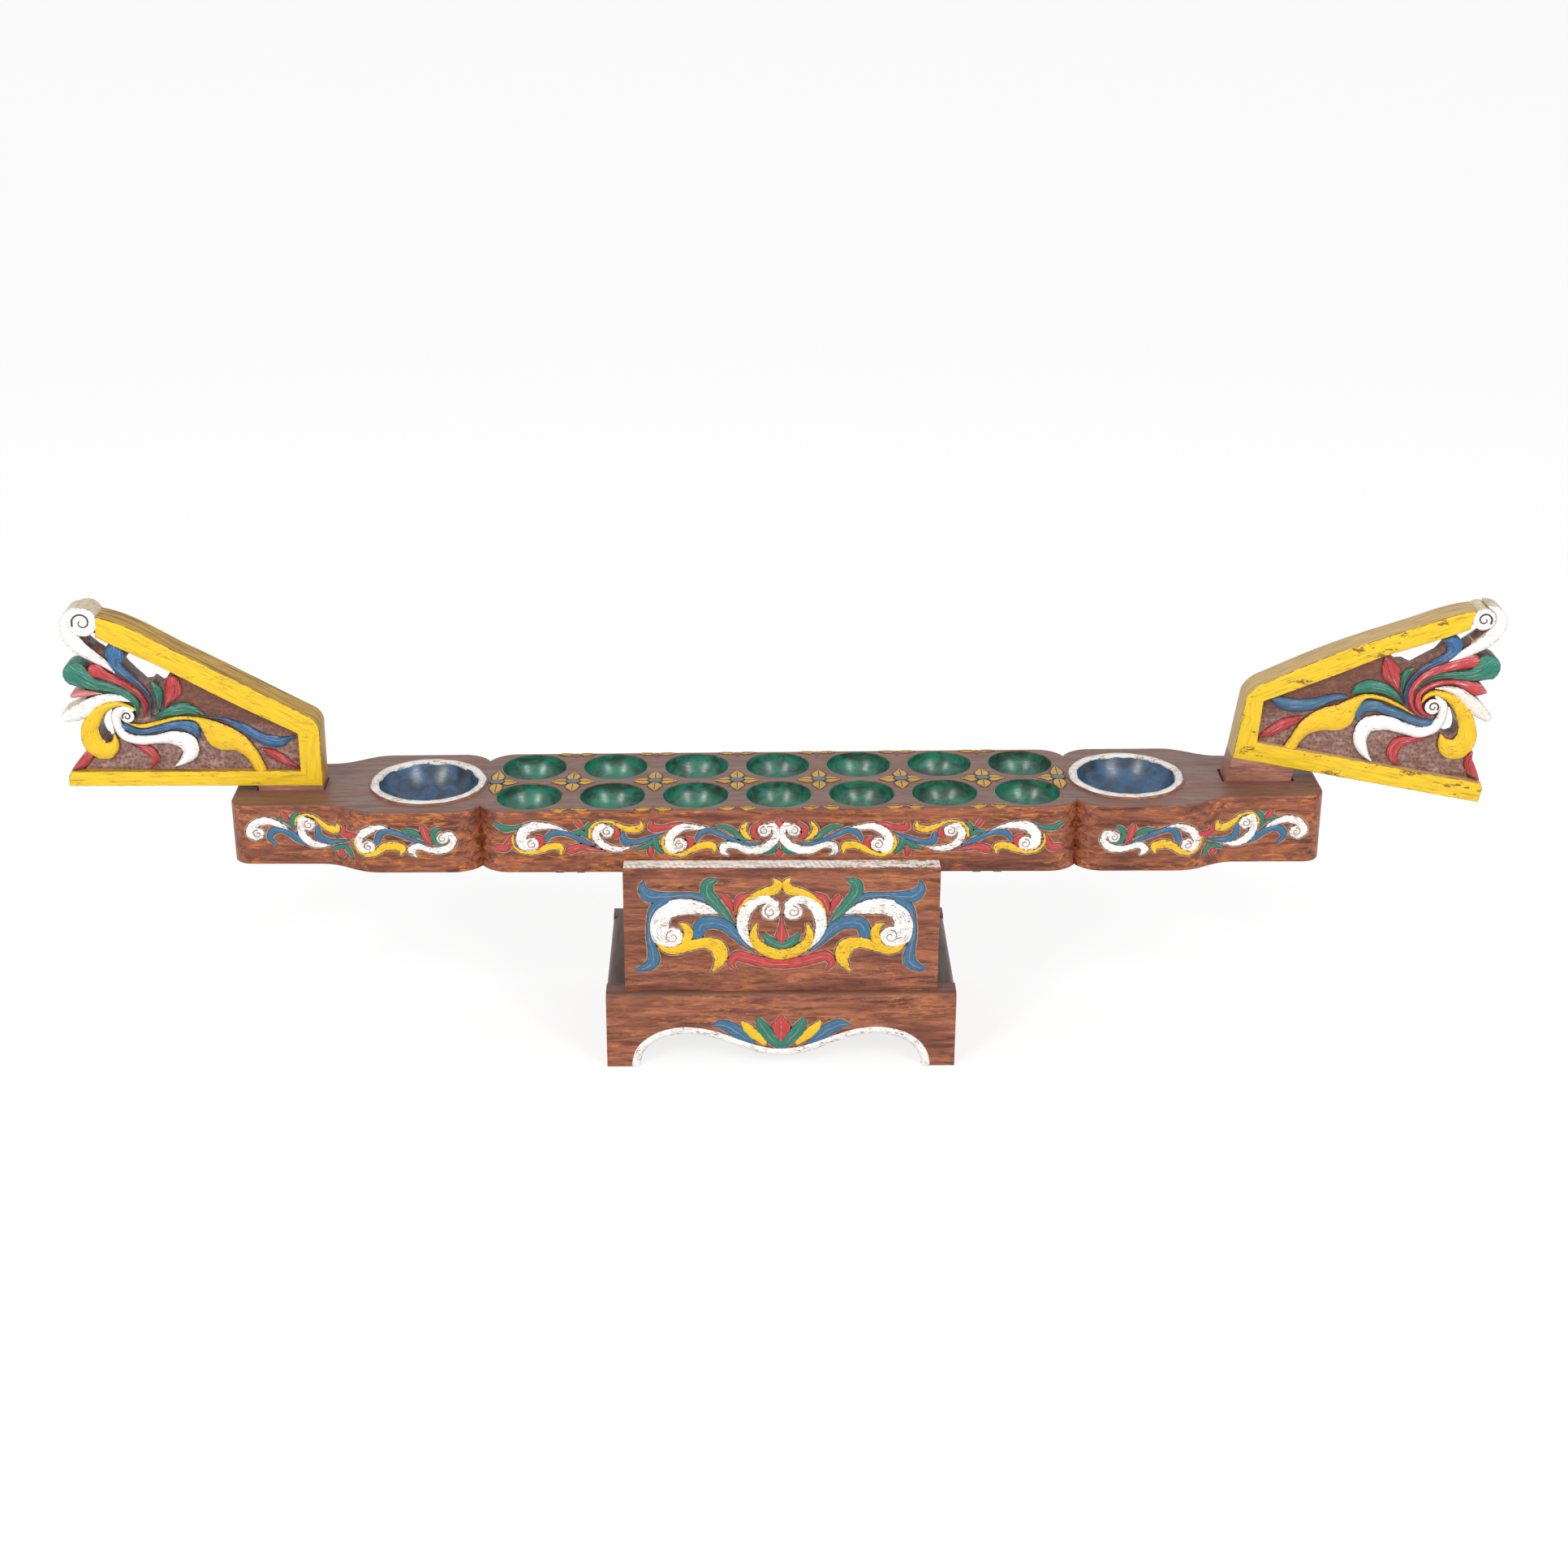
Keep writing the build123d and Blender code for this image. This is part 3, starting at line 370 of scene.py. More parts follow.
WINGS = {
    "left": {
        "leaves": LEFT_LEAVES,
        "scrolls": LEFT_SCROLLS,
        "eyes": ((168.7, 130.7, 11.0), (142.7, 56.2, 5.2)),
        "web": LEFT_WEB,
        "openings": LEFT_OPENINGS,
        "beam_lower": [(16.5, 42), (74.7, 72.8), (120, 98.5), (154.7, 116), (160, 119)],
        "beam_upper": [(158.5, 134.6), (155.7, 134), (94.7, 103.9), (26.7, 66.7), (6.7, 55.7)],
        "shoulder": (0, 41.7),
        "foot": [(0, 0), (191, 0), (191, 7.2), (188.6, 12), (16.5, 12)],
        "strip": 12.0,
        "upright": 16.5,
        "slope": math.radians(28.2),
    },
    "right": {
        "leaves": RIGHT_LEAVES,
        "scrolls": RIGHT_SCROLLS,
        "eyes": ((155.2, 142.6, 8.4), (138.3, 68.4, 6.1)),
        "web": RIGHT_WEB,
        "openings": RIGHT_OPENINGS,
        "beam_lower": [(11.3, 48.6), (58, 78.6), (92, 101.3), (123.3, 118.6), (147.2, 132.8)],
        "beam_upper": [(147.8, 147.9), (145, 147), (100.7, 123.3), (51.3, 94), (7, 62.6)],
        "shoulder": (-2.5, 48.6),
        "foot": [(0, 0), (195, 0), (195, 10.8), (192.6, 15.6), (15.3, 15.6)],
        "strip": 15.6,
        "upright": 15.3,
        "slope": math.radians(31.0),
    },
}
TENON = [(0, -TENON_DEPTH), (TENON_LENGTH, -TENON_DEPTH), (TENON_LENGTH, 0.5), (0, 0.5)]


def colour(text):
    """The linear colour of an sRGB hex value."""
    parts = [int(text[i:i + 2], 16) / 255 for i in (1, 3, 5)]
    return tuple(c / 12.92 if c <= 0.04045 else ((c + 0.055) / 1.055) ** 2.4 for c in parts) + (1.0,)


def add(tree, kind, inputs=(), **settings):
    """Adds a node with its settings, and links or sets its inputs, named or in order. A node among
    them stands for its first output in use, and a hex value for its linear colour."""
    node = tree.nodes.new("ShaderNode" + kind)
    for name, value in settings.items():
        setattr(node, name, value)
    for socket, value in inputs.items() if isinstance(inputs, dict) else enumerate(inputs):
        if isinstance(value, bpy.types.Node):
            value = next(output for output in value.outputs if output.enabled)
        if isinstance(value, bpy.types.NodeSocket):
            tree.links.new(value, node.inputs[socket])
        else:
            node.inputs[socket].default_value = colour(value) if isinstance(value, str) else value
    return node


def new_material(name):
    """An empty material, its node tree, and where a point is on the object."""
    material = bpy.data.materials.new(name)
    material.use_nodes = True
    material.node_tree.nodes.clear()
    return material, material.node_tree, add(material.node_tree, "TexCoord").outputs


def patches(tree, coords, size, low, high, detail=3.0, rough=0.6, bend=0.0):
    """A soft-edged mask of patches, each about size (x, y, z) in millimetres."""
    scaled = add(tree, "VectorMath", (coords, [1000 / s for s in size]), operation="MULTIPLY")
    field = add(tree, "TexNoise", {"Vector": scaled, "Scale": 1.0, "Detail": detail, "Roughness": rough,
                                   "Distortion": bend})
    return add(tree, "MapRange", (field, low, high))


def coat(tree, under, over, *masks):
    """One finish over another where all its masks let it lie; a number among them thins it."""
    where = masks[0]
    for mask in masks[1:]:
        where = add(tree, "Math", (where, mask), operation="MULTIPLY")
    return add(tree, "Mix", {0: where, 6: under, 7: over}, data_type="RGBA")


def from_rim(tree):
    """How far a point is inside its stroke's rim, in metres, out of the rim map."""
    rim = add(tree, "SeparateXYZ", (add(tree, "UVMap", uv_map="rim"),)).outputs
    inward = add(tree, "Math", (1.0, rim[0]), operation="SUBTRACT")
    return add(tree, "Math", (inward, rim[1]), operation="MULTIPLY")


def finished(material, body, rough, bump=None, gloss=None):
    """The material with its shader: bump is (height, strength, depth in metres)."""
    tree = material.node_tree
    sockets = {"Base Color": body, "Roughness": rough, "IOR": 1.5, **(gloss or {})}
    if bump:
        sockets["Normal"] = add(tree, "Bump", dict(zip(("Height", "Strength", "Distance"), bump)))
    add(tree, "OutputMaterial", {"Surface": add(tree, "BsdfPrincipled", sockets)})
    return material


def varnished_wood(name, grain, dark, middle, light, top, patch):
    """Reddish tropical hardwood, brush stained and varnished: dark grain lines, orange flecks and bands
    where the stain has rubbed off, and a painted reflection, a dull grey brown, on what faces up.
    Grain is the axis it runs along."""
    material, tree, place = new_material(name)

    def grained(width, length, *limits):
        size = [length if axis == grain else width for axis in range(3)]
        return patches(tree, place["Object"], size, *limits)

    streak = grained(5.5, 55, 0.38, 0.6, 6, 0.68, 0.9)
    flecks = grained(2.6, 10, 0.48, 0.62, 4, 0.68, 0.5)
    bands = grained(12, 55, 0.44, 0.58, 4, 0.62, 0.6)
    fine = grained(0.8, 12, 0.42, 0.62, 3, 0.6)
    stain = grained(20, 60, 0.48, 0.64, 4, 0.6)
    pores = grained(0.5, 6, 0.62, 0.69, 2, 0.5)
    body = coat(tree, dark, middle, streak)
    body = coat(tree, body, light, flecks, add(tree, "MapRange", (bands, 0, 1, 0.15, 1)), patch)
    body = coat(tree, body, dark, stain, 0.6)
    body = coat(tree, body, dark, fine, 0.36)
    body = coat(tree, body, "#24130E", pores, 0.6)
    up = add(tree, "SeparateXYZ", (place["Normal"],)).outputs[2]
    # The top colour, greyed by the dark streaks, is a painted reflection on faces that point up
    painted_top_reflection = coat(tree, coat(tree, top, dark, streak, 0.6), dark, fine, 0.3)
    body = coat(tree, body, painted_top_reflection, add(tree, "MapRange", (up, 0.45, 0.92)), 0.8)
    rough = add(tree, "MapRange", (streak, 0, 1, 0.3, 0.46))
    relief = add(tree, "Math", (fine, pores), operation="SUBTRACT")
    return finished(material, body, rough, (relief, 0.2, 0.0003), {"Specular IOR Level": 0.42})


def brushed_enamel(name, paint, shade, under, worn, bare, painted_highlight_share=0.0):
    """Oil enamel brushed on carved wood: streaks run along each stroke, the paint has rubbed through to
    the wood in dashes and in chips at its rims, and pale streaks along it are painted highlights."""
    material, tree, place = new_material(name)
    coords = place["Object"]
    run = add(tree, "UVMap", uv_map="run")
    brush = patches(tree, run, (8, 0.9, 1), 0.36, 0.66, 3)
    lost = patches(tree, run, (5.5, 0.8, 1), bare, bare + 0.05, 4, 0.7)
    rubbed = patches(tree, coords, (6.5, 2.2, 1.8), bare + 0.01, bare + 0.06, 5, 0.72)
    broad = patches(tree, coords, (22, 14, 11), 0.4, 0.56, 2)
    near_rim = add(tree, "MapRange", (from_rim(tree), 0.001, 0.0002))
    chips = patches(tree, coords, (3.4, 2.4, 2.2), bare - 0.09, bare, 4)
    chipped = add(tree, "Math", (near_rim, chips), operation="MULTIPLY")
    for mask, operation in ((rubbed, "MAXIMUM"), (broad, "MULTIPLY"), (chipped, "MAXIMUM")):
        lost = add(tree, "Math", (lost, mask), operation=operation)
    # Pale streaks along the stroke are painted highlights, as strong as the last argument says
    painted_highlights = patches(tree, run, (15, 1.1, 1), 0.54, 0.66, 4, 0.65)
    body = coat(tree, paint, shade, brush, 0.6)
    body = coat(tree, body, "#F0E6E0", painted_highlights, painted_highlight_share)
    body = coat(tree, body, under, lost, worn)
    height = add(tree, "Math", (brush, lost), operation="SUBTRACT")
    return finished(material, body, 0.4, (height, 0.3, 0.0004))


def filled_groove(name, bank, bed):
    """Carved outline: a pale scraped bank outside, and a dark bed of old wax and dust beside the paint."""
    material, tree, place = new_material(name)
    body = coat(tree, bank, bed, add(tree, "MapRange", (from_rim(tree), 0.0005, 0.0008)))
    grime = patches(tree, place["Object"], (6, 3, 3), 0.42, 0.66, 4)
    return finished(material, coat(tree, body, bed, grime, 0.7), 0.62)


def lacquered_bowl(name, bright, deep, scar):
    """Glossy lacquer over a gouged bowl: thick and thin coats brushed round it, dark where it has gone."""
    material, tree, place = new_material(name)
    coats = patches(tree, place["Object"], (17, 17, 10), 0.42, 0.6, 5, 0.64, 0.8)
    gouges = patches(tree, place["Object"], (9, 9, 1.3), 0.38, 0.66, 3, 0.6)
    scars = patches(tree, place["Object"], (4.5, 4.5, 2.2), 0.59, 0.66, 5, 0.7)
    body = coat(tree, bright, deep, coats, 0.85)
    body = coat(tree, body, deep, gouges, 0.3)
    body = coat(tree, body, scar, scars, 0.7)
    rough = add(tree, "MapRange", (gouges, 0, 1, 0.24, 0.36))
    gloss = {"Coat Weight": 0.6, "Coat Roughness": 0.34}
    return finished(material, body, rough, (gouges, 0.1, 0.0003), gloss)


def beam_enamel():
    """Yellow enamel of the wings' beams: bright on the faces, knocked off the arrises, and a worn olive
    tan on what faces up. The right beam is chipped more and its upper side is paler."""
    material, tree, place = new_material("brushed_yellow_enamel_on_beam")
    run = add(tree, "UVMap", uv_map="run")
    brush = patches(tree, run, (22, 1.5, 1), 0.38, 0.7, 4)
    cracks = patches(tree, run, (22, 1.5, 1), 0.59, 0.64, 5, 0.7)
    broad = patches(tree, run, (45, 9, 1), 0.42, 0.58, 2)
    greenish = patches(tree, run, (18, 3.5, 1), 0.5, 0.7, 3)
    lines = patches(tree, run, (42, 2.1, 1), 0.51, 0.58, 5, 0.7)
    chips = patches(tree, place["Object"], (22, 9, 8), 0.575, 0.605, 6, 0.78)
    knocks = patches(tree, place["Object"], (7, 5, 5), 0.42, 0.54, 4, 0.7)
    on_right = add(tree, "MapRange", (add(tree, "SeparateXYZ", (place["Object"],)), -0.1, 0.1))
    face = coat(tree, "#F7CE1E", "#D3A51A", brush, 0.7)
    face = coat(tree, face, "#B59A28", greenish, 0.3)
    face = coat(tree, face, "#7A4A22", chips, add(tree, "MapRange", (on_right, 0, 1, 0.3, 0.9)))
    face = coat(tree, face, "#7A4A22", cracks, broad, 0.75)
    top = coat(tree, coat(tree, "#D6A834", "#976F26", brush), "#523620", lines, 0.9)
    top = coat(tree, top, coat(tree, "#DDBE86", "#B08C52", brush), on_right, 0.8)
    across = add(tree, "SeparateXYZ", (place["Normal"],)).outputs[1]
    side = add(tree, "Math", (across,), operation="ABSOLUTE")
    body = coat(tree, face, top, add(tree, "MapRange", (side, 0.8, 0.45)))
    arris = add(tree, "MapRange", (side, 0.96, 0.86))
    body = coat(tree, body, "#6E4526", arris, add(tree, "MapRange", (side, 0.4, 0.6)), knocks)
    return finished(material, body, 0.48, (brush, 0.35, 0.0004))


def punched_ground():
    """Wood between the carvings, sunk and punched all over with a blunt point every 2.4 mm: reddish
    stain under the beam and paler below, with painted shade darkening the middle of every punch mark."""
    material, tree, place = new_material("punched_stained_ground")
    dots = add(tree, "TexVoronoi", {"Vector": place["Object"], "Scale": 1000 / 2.4})
    grime = patches(tree, place["Object"], (14, 8, 5), 0.36, 0.66, 5, 0.66)
    smears = patches(tree, place["Object"], (7, 5, 4), 0.58, 0.68, 4, 0.7)
    out, up = add(tree, "SeparateXYZ", (add(tree, "UVMap", uv_map="run"),)).outputs[:2]
    under_beam = add(tree, "Math", (out, -0.2, up), operation="MULTIPLY_ADD")
    upper = coat(tree, coat(tree, "#95594A", "#633A2A", grime), "#B5642E", smears, 0.7)
    lower = coat(tree, "#C7A096", "#8A6255", grime)
    body = coat(tree, lower, upper, add(tree, "MapRange", (under_beam, 0.03, 0.042)))
    # Dark towards the middle of each punch mark: painted shade in the small hollows
    return finished(material, coat(tree, "#5A392E", body, dots, 0.9), 0.62, (dots, 0.6, 0.0008))


def rubbed_white_top():
    """Thin white enamel on the panels' top edges, rubbed through in slanted saw marks 2.1 mm apart."""
    material, tree, place = new_material("rubbed_white_enamel_on_saw_marks")
    along, across = add(tree, "SeparateXYZ", (place["Object"],)).outputs[:2]
    marks = add(tree, "Math", (across, 0.35, along), operation="MULTIPLY_ADD")
    marks = add(tree, "Math", (marks, 1000 / 2.1), operation="MULTIPLY")
    marks = add(tree, "Math", (marks, 1.0), operation="PINGPONG")
    cut = add(tree, "MapRange", (marks, 0.45, 0.85))
    some = patches(tree, place["Object"], (38, 6, 6), 0.4, 0.62, 4)
    rubbed = patches(tree, place["Object"], (7, 2.6, 2.6), 0.5, 0.57, 5, 0.72)
    body = coat(tree, "#FBF8F3", "#8A6A58", cut, some, 0.45)
    body = coat(tree, body, "#6B4534", rubbed, add(tree, "MapRange", (along, 0.02, 0.11, 0.45, 1.0)))
    return finished(material, body, 0.55)


WOOD_UNDER = "#6E4030"
ALONG, ACROSS, UPRIGHT = range(3)
# Rows: name, grain, dark, middle, light, top, patch; the top colour is a painted reflection
board_wood, stand_wood, stand_side_wood, tenon_wood, raw_wood, carved_side = (
    varnished_wood(*row) for row in (
        ("stained_varnished_hardwood_board", ALONG, "#56281B", "#A96347", "#DC8236", "#82685E", 0.9),
        ("stained_varnished_hardwood_stand", ALONG, "#5E3022", "#B06A4E", "#D08248", "#735B4E", 0.7),
        ("stained_hardwood_across", ACROSS, "#4B2C22", "#6E4031", "#8E573A", "#5C4A42", 0.4),
        ("stained_hardwood_tenon", ALONG, "#7A4C3C", "#B27A66", "#C98F70", "#8A6A5C", 0.5),
        ("planed_unfinished_hardwood", UPRIGHT, "#8A6546", "#B28A62", "#C9A57C", "#B28A62", 0.4),
        ("carved_hardwood_side", ALONG, "#3E261E", "#5E3C2E", "#7B5240", "#5E3C2E", 0.5),
    )
)
aged_white, bud_red, ochre, slate, ring_enamel = (
    brushed_enamel(*row) for row in (
        ("aged_white_enamel_on_sides", "#E2D3B4", "#B09A70", "#6E4A34", 0.7, 0.66),
        ("thin_dark_red_enamel", "#8E3A34", "#6A2A28", WOOD_UNDER, 0.6, 0.58),
        ("brushed_ochre_enamel", "#D9A833", "#B58322", WOOD_UNDER, 0.8, 0.54),
        ("brushed_slate_enamel", "#5B7386", "#3E5262", WOOD_UNDER, 0.6, 0.6),
        ("thick_worn_white_enamel", "#F6F2EC", "#D8CEC2", "#7A5A48", 0.85, 0.55),
    )
)
# Rows: key, name, paint, darker streak colour, wood under, worn, bare, share of painted highlight
ENAMELS = {key: brushed_enamel(*row) for key, *row in (
    ("white", "brushed_white_enamel", "#FDFBF8", "#E6DDD3", WOOD_UNDER, 0.95, 0.56),
    ("yellow", "brushed_yellow_enamel", "#FACC1C", "#DDA416", WOOD_UNDER, 0.9, 0.56),
    ("blue", "brushed_blue_enamel", "#32729A", "#1D5478", "#4A3A3A", 0.7, 0.6, 0.14),
    ("green", "brushed_green_enamel", "#19806A", "#0D5C4A", "#4A3A30", 0.7, 0.6, 0.14),
    ("red", "brushed_red_enamel", "#CC3B38", "#9C2830", "#5E2E28", 0.65, 0.6, 0.14),
)}
# The same columns; the last number, where given, is the share of painted highlight
WING_ENAMELS = {key: brushed_enamel(*row) for key, *row in (
    ("white", "thick_white_enamel_on_wings", "#FEFCFA", "#ECE6DE", "#7A4E36", 0.85, 0.59),
    ("yellow", "thick_yellow_enamel_on_wings", "#FBCD1E", "#D8A218", "#7A4A22", 0.8, 0.58),
    ("blue", "thick_blue_enamel_on_wings", "#2F6FA0", "#1A4C74", "#3E3436", 0.75, 0.58, 0.3),
    ("green", "thick_green_enamel_on_wings", "#1A826A", "#0A5443", "#3C3630", 0.75, 0.58, 0.3),
    ("red", "thick_red_enamel_on_wings", "#C93A3C", "#94242C", "#5E2E28", 0.7, 0.58, 0.3),
    ("pink", "thin_red_enamel_over_white", "#D98C86", "#C45A58", "#8A5A52", 0.6, 0.58, 0.5),
    # Rose: red enamel with a large share of painted highlight in pale streaks
    ("rose", "red_enamel_with_painted_highlights", "#CC3F42", "#A62C36", "#7A3A34", 0.6, 0.6, 0.6),
    ("slate", "dull_blue_enamel", "#3C6A8C", "#284A66", "#5A4640", 0.6, 0.6, 0.2),
    ("cream", "thin_cream_enamel", "#F6F2EA", "#D8CEBC", "#7A6A42", 0.8, 0.58),
)}
groove = filled_groove("wax_filled_groove", "#B39A8A", "#50301F")
vein_groove = filled_groove("knife_cut_vein", "#4A3830", "#33231E")
top_groove = filled_groove("knife_cut_outline_on_top", "#3E2A22", "#2A1A15")
pit_lacquer = lacquered_bowl("glossy_green_lacquer", "#107C61", "#03251A", "#24140F")
head_lacquer = lacquered_bowl("glossy_blue_lacquer", "#23587F", "#081420", "#2A1418")
ground = punched_ground()
beam = beam_enamel()
top_enamel = rubbed_white_top()


def smooth_line(points, step=STROKE_STEP):
    """Points close together on the smooth line through the drawn ones, with widths between theirs."""
    knots = [Vector(p) for p in points]
    gaps = [(b.xy - a.xy).length for a, b in zip(knots, knots[1:])]
    rates = [(b - a) / gap for a, b, gap in zip(knots, knots[1:], gaps)]
    slopes = [rates[0]]
    for before, after, gap, next_gap in zip(rates, rates[1:], gaps, gaps[1:]):
        slopes.append((before * next_gap + after * gap) / (gap + next_gap))
    slopes.append(rates[-1])
    line = []
    for a, b, gap, slope_a, slope_b in zip(knots, knots[1:], gaps, slopes, slopes[1:]):
        count = max(2, math.ceil(gap / step))
        for i in range(count):
            t = i / count
            line.append(a * (1 + 2 * t) * (1 - t) ** 2 + slope_a * gap * t * (1 - t) ** 2
                        + b * t * t * (3 - 2 * t) - slope_b * gap * t * t * (1 - t))
    return line + [knots[-1]]


def rounded_end(end, inner):
    """Four more stations that close a wide end of a line in a half circle."""
    if end.z < POINTED_END:
        return []
    outward = (end.xy - inner.xy).normalized()
    return [Vector((*(end.xy + outward * end.z * math.sin(angle)), end.z * math.cos(angle)))
            for angle in map(math.radians, (25, 50, 70, 84))]


def band(points, across, grow=0.0):
    """Rows of (x, z, side, run, half width) over a stroke; side goes from -1 to 1 across it."""
    line = smooth_line(points)
    line = rounded_end(*line[:2])[::-1] + line + rounded_end(line[-1], line[-2])
    rows = []
    run = 0.0
    for i, station in enumerate(line):
        before, after = line[max(i - 1, 0)].xy, line[min(i + 1, len(line) - 1)].xy
        along = (after - before).normalized()
        normal = Vector((-along.y, along.x))
        run += (station.xy - before).length
        half = max(station.z, LEAST_HALF) + grow
        bend = 0.0
        if 0 < i < len(line) - 1:
            turn = (station.xy - before).angle_signed(after - station.xy, 0.0)
            bend = -turn / max((after - before).length / 2, 0.01)
        row = []
        for j in range(across + 1):
            side = 2 * j / across - 1
            reach = side * half
            if reach * bend > TIGHTEST_BEND:
                reach = TIGHTEST_BEND / bend
            row.append((*(station.xy + normal * reach), side, run, half))
        rows.append(row)
    return rows


def put(name, data):
    """A new object in the scene."""
    thing = bpy.data.objects.new(name, data)
    bpy.context.scene.collection.objects.link(thing)
    return thing


def set_out(name, mesh, edit, sharp, body):
    """A closed form as a piece that rides a body, with edges sharp over an angle in degrees."""
    bmesh.ops.recalc_face_normals(edit, faces=edit.faces)
    edit.to_mesh(mesh)
    edit.free()
    mesh.shade_smooth()
    mesh.set_sharp_from_angle(angle=math.radians(sharp))
    piece = put(name, mesh)
    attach(piece, body)
    return piece


class Relief:
    """Carved pieces gathered into one mesh, each a closed shell, with maps for what is brushed on: run
    is along and across a stroke, rim is the share of the half width, and that width."""

    def __init__(self):
        self.points = []
        self.faces = []
        self.maps = {"run": [], "rim": []}
        self.walls = {}

    def point(self, spot, run, across, share, half):
        """One corner, with what the maps say there."""
        self.points.append(spot)
        self.maps["run"].append((run * MM, across * MM))
        self.maps["rim"].append((share, half * MM))

    def shell(self, rows, place, upper, lower):
        """A closed shell over rows of (x, z, side, run, half width)."""
        first, wide, tall = len(self.points), len(rows[0]), len(rows)
        size = wide * tall
        for height in (upper, lower):
            for x, z, side, run, half in (spot for row in rows for spot in row):
                self.point(place(x, z, height(side, half)), run, side * half, abs(side), half)
        for i in range(tall - 1):
            for j in range(wide - 1):
                a = first + i * wide + j
                quad = (a, a + 1, a + wide + 1, a + wide)
                self.faces += [quad, tuple(q + size for q in reversed(quad))]
        ring = [first + j for j in range(wide)]
        ring += [first + i * wide + wide - 1 for i in range(1, tall)]
        ring += [first + (tall - 1) * wide + j for j in range(wide - 2, -1, -1)]
        ring += [first + i * wide for i in range(tall - 2, 0, -1)]
        for a, b in zip(ring, ring[1:] + ring[:1]):
            self.walls[len(self.faces)] = rows[(a - first) // wide][(a - first) % wide][:2]
            self.faces.append((b, a, a + size, b + size))

    def disc(self, x, z, radius, place, upper, lower, around=32, rings=5):
        """A closed round shell about a centre."""
        first, size = len(self.points), around * rings + 1
        for height in (upper, lower):
            self.point(place(x, z, height(0.0, radius)), 0.0, 0.0, 0.0, radius)
            for ring in range(1, rings + 1):
                share = ring / rings
                for i in range(around):
                    angle = 2 * math.pi * i / around
                    spot = place(x + radius * share * math.cos(angle), z + radius * share * math.sin(angle),
                                 height(share, radius))
                    self.point(spot, angle * radius, radius * share, share, radius)
        for i in range(around):
            j = (i + 1) % around
            for base, flip in ((first, 1), (first + size, -1)):
                self.faces.append((base, base + 1 + i, base + 1 + j)[::flip])
                for ring in range(rings - 1):
                    a = base + 1 + ring * around
                    self.faces.append((a + i, a + around + i, a + around + j, a + j)[::flip])
            a = first + 1 + (rings - 1) * around
            self.walls[len(self.faces)] = (x, z)
            self.faces.append((a + j, a + i, a + i + size, a + j + size))

    def build(self, name, body, slot, paint, wall=None, tip=None):
        """The gathered shells as one piece, with other finishes on their sides and on their tips' sides."""
        mesh = bpy.data.meshes.new(name)
        mesh.from_pydata(self.points, [], self.faces)
        mesh.materials.append(paint)
        if wall:
            mesh.materials.append(wall)
            mesh.materials.append(tip or paint)
            for i, (out, up) in self.walls.items():
                mesh.polygons[i].material_index = 1 if out < PAINTED_TIPS and up < PAINTED_VOLUTE else 2
        for label, values in self.maps.items():
            layer = mesh.uv_layers.new(name=label)
            for loop in mesh.loops:
                layer.data[loop.index].uv = values[loop.vertex_index]
        edit = bmesh.new()
        edit.from_mesh(mesh)
        return set_out(name, mesh, edit, RELIEF_SHARP, body)


def surface_of(node):
    """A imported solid's surface, for rays to meet."""
    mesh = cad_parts[node].data
    return BVHTree.FromPolygons([v.co for v in mesh.vertices], [p.vertices for p in mesh.polygons])


def face_of(node, towards):
    """A function that puts a drawn point on a node's face, seen along one way, at a height over it."""
    surface = surface_of(node)
    way = Vector(towards)

    def place(x, z, height):
        spot = Vector((x, z, 0) if way.z else (x, 0, z)) * MM
        hit, normal = surface.ray_cast(spot - way, way)[:2]
        if hit is None:
            hit, normal = surface.find_nearest(spot - way * 0.07)[:2]
        if normal.dot(way) > 0:
            normal = -normal
        return hit + normal * height * MM

    return place


def mirrored(stroke, middle):
    """A stroke on the other side of an upright middle line."""
    return [(2 * middle - x, z, half) for x, z, half in stroke]


def crossing(stroke, middle):
    """A stroke drawn up to the middle line, carried on over it."""
    return list(stroke) + mirrored(stroke, middle)[-2::-1]


def volute(x, z, radius, turn, start, line=0.45):
    """The curl cut inside a scroll's eye: a shrinking spiral line."""
    points = []
    for i in range(11):
        share = i / 10
        angle = start + turn * share * 2.4 * math.pi
        reach = radius * (0.7 - 0.56 * share)
        points.append((x + reach * math.cos(angle), z + reach * math.sin(angle), line * (1.0 - 0.4 * share)))
    return points


def crown(low, high):
    """A domed height over a stroke: low at its rims, high along its middle where it is wide enough."""
    return lambda side, half: low + (high - low) * (1 - side * side) * min(1.0, half / 3.0)


def level(height):
    """The same height all over."""
    return lambda side, half: height


buried = level(-0.5)
groove_bed = level(0.12)


def paint_strokes(name, sheets, place, body, slot, middle):
    """Painted strokes and their filled outlines on one face, one piece for each colour. Sheets hold the
    strokes by colour, on both sides of the middle line; a stroke of one point is a scroll's eye."""
    outlines = Relief()
    for key, strokes in sheets.items():
        relief = Relief()
        for stroke in strokes:
            if len(stroke) == 1:
                x, z, radius = stroke[0]
                relief.disc(x, z, radius, place, crown(0.3, 0.75), buried)
                outlines.disc(x, z, radius + EYE_GROOVE, place, groove_bed, buried, rings=4)
                curl = volute(x, z, radius, 1 if x < middle else -1, math.pi / 2)
                outlines.shell(band(curl, 2), place, level(1.0), level(0.2))
                continue
            relief.shell(band(stroke, 6), place, crown(0.35, 1.0), buried)
            outlines.shell(band(stroke, 2, grow=STROKE_GROOVE), place, groove_bed, buried)
            if key in VEINED and max(spot[2] for spot in stroke) > VEINED_HALF:
                vein = [(x, z, min(VEIN_HALF, half)) for x, z, half in smooth_line(stroke, VEIN_STEP)[1:-2]]
                outlines.shell(band(vein, 2), place, level(1.1), level(0.3))
        relief.build(f"{name}_{key}_strokes", body, slot, ENAMELS[key])
    outlines.build(f"{name}_carved_outlines", body, slot, groove)


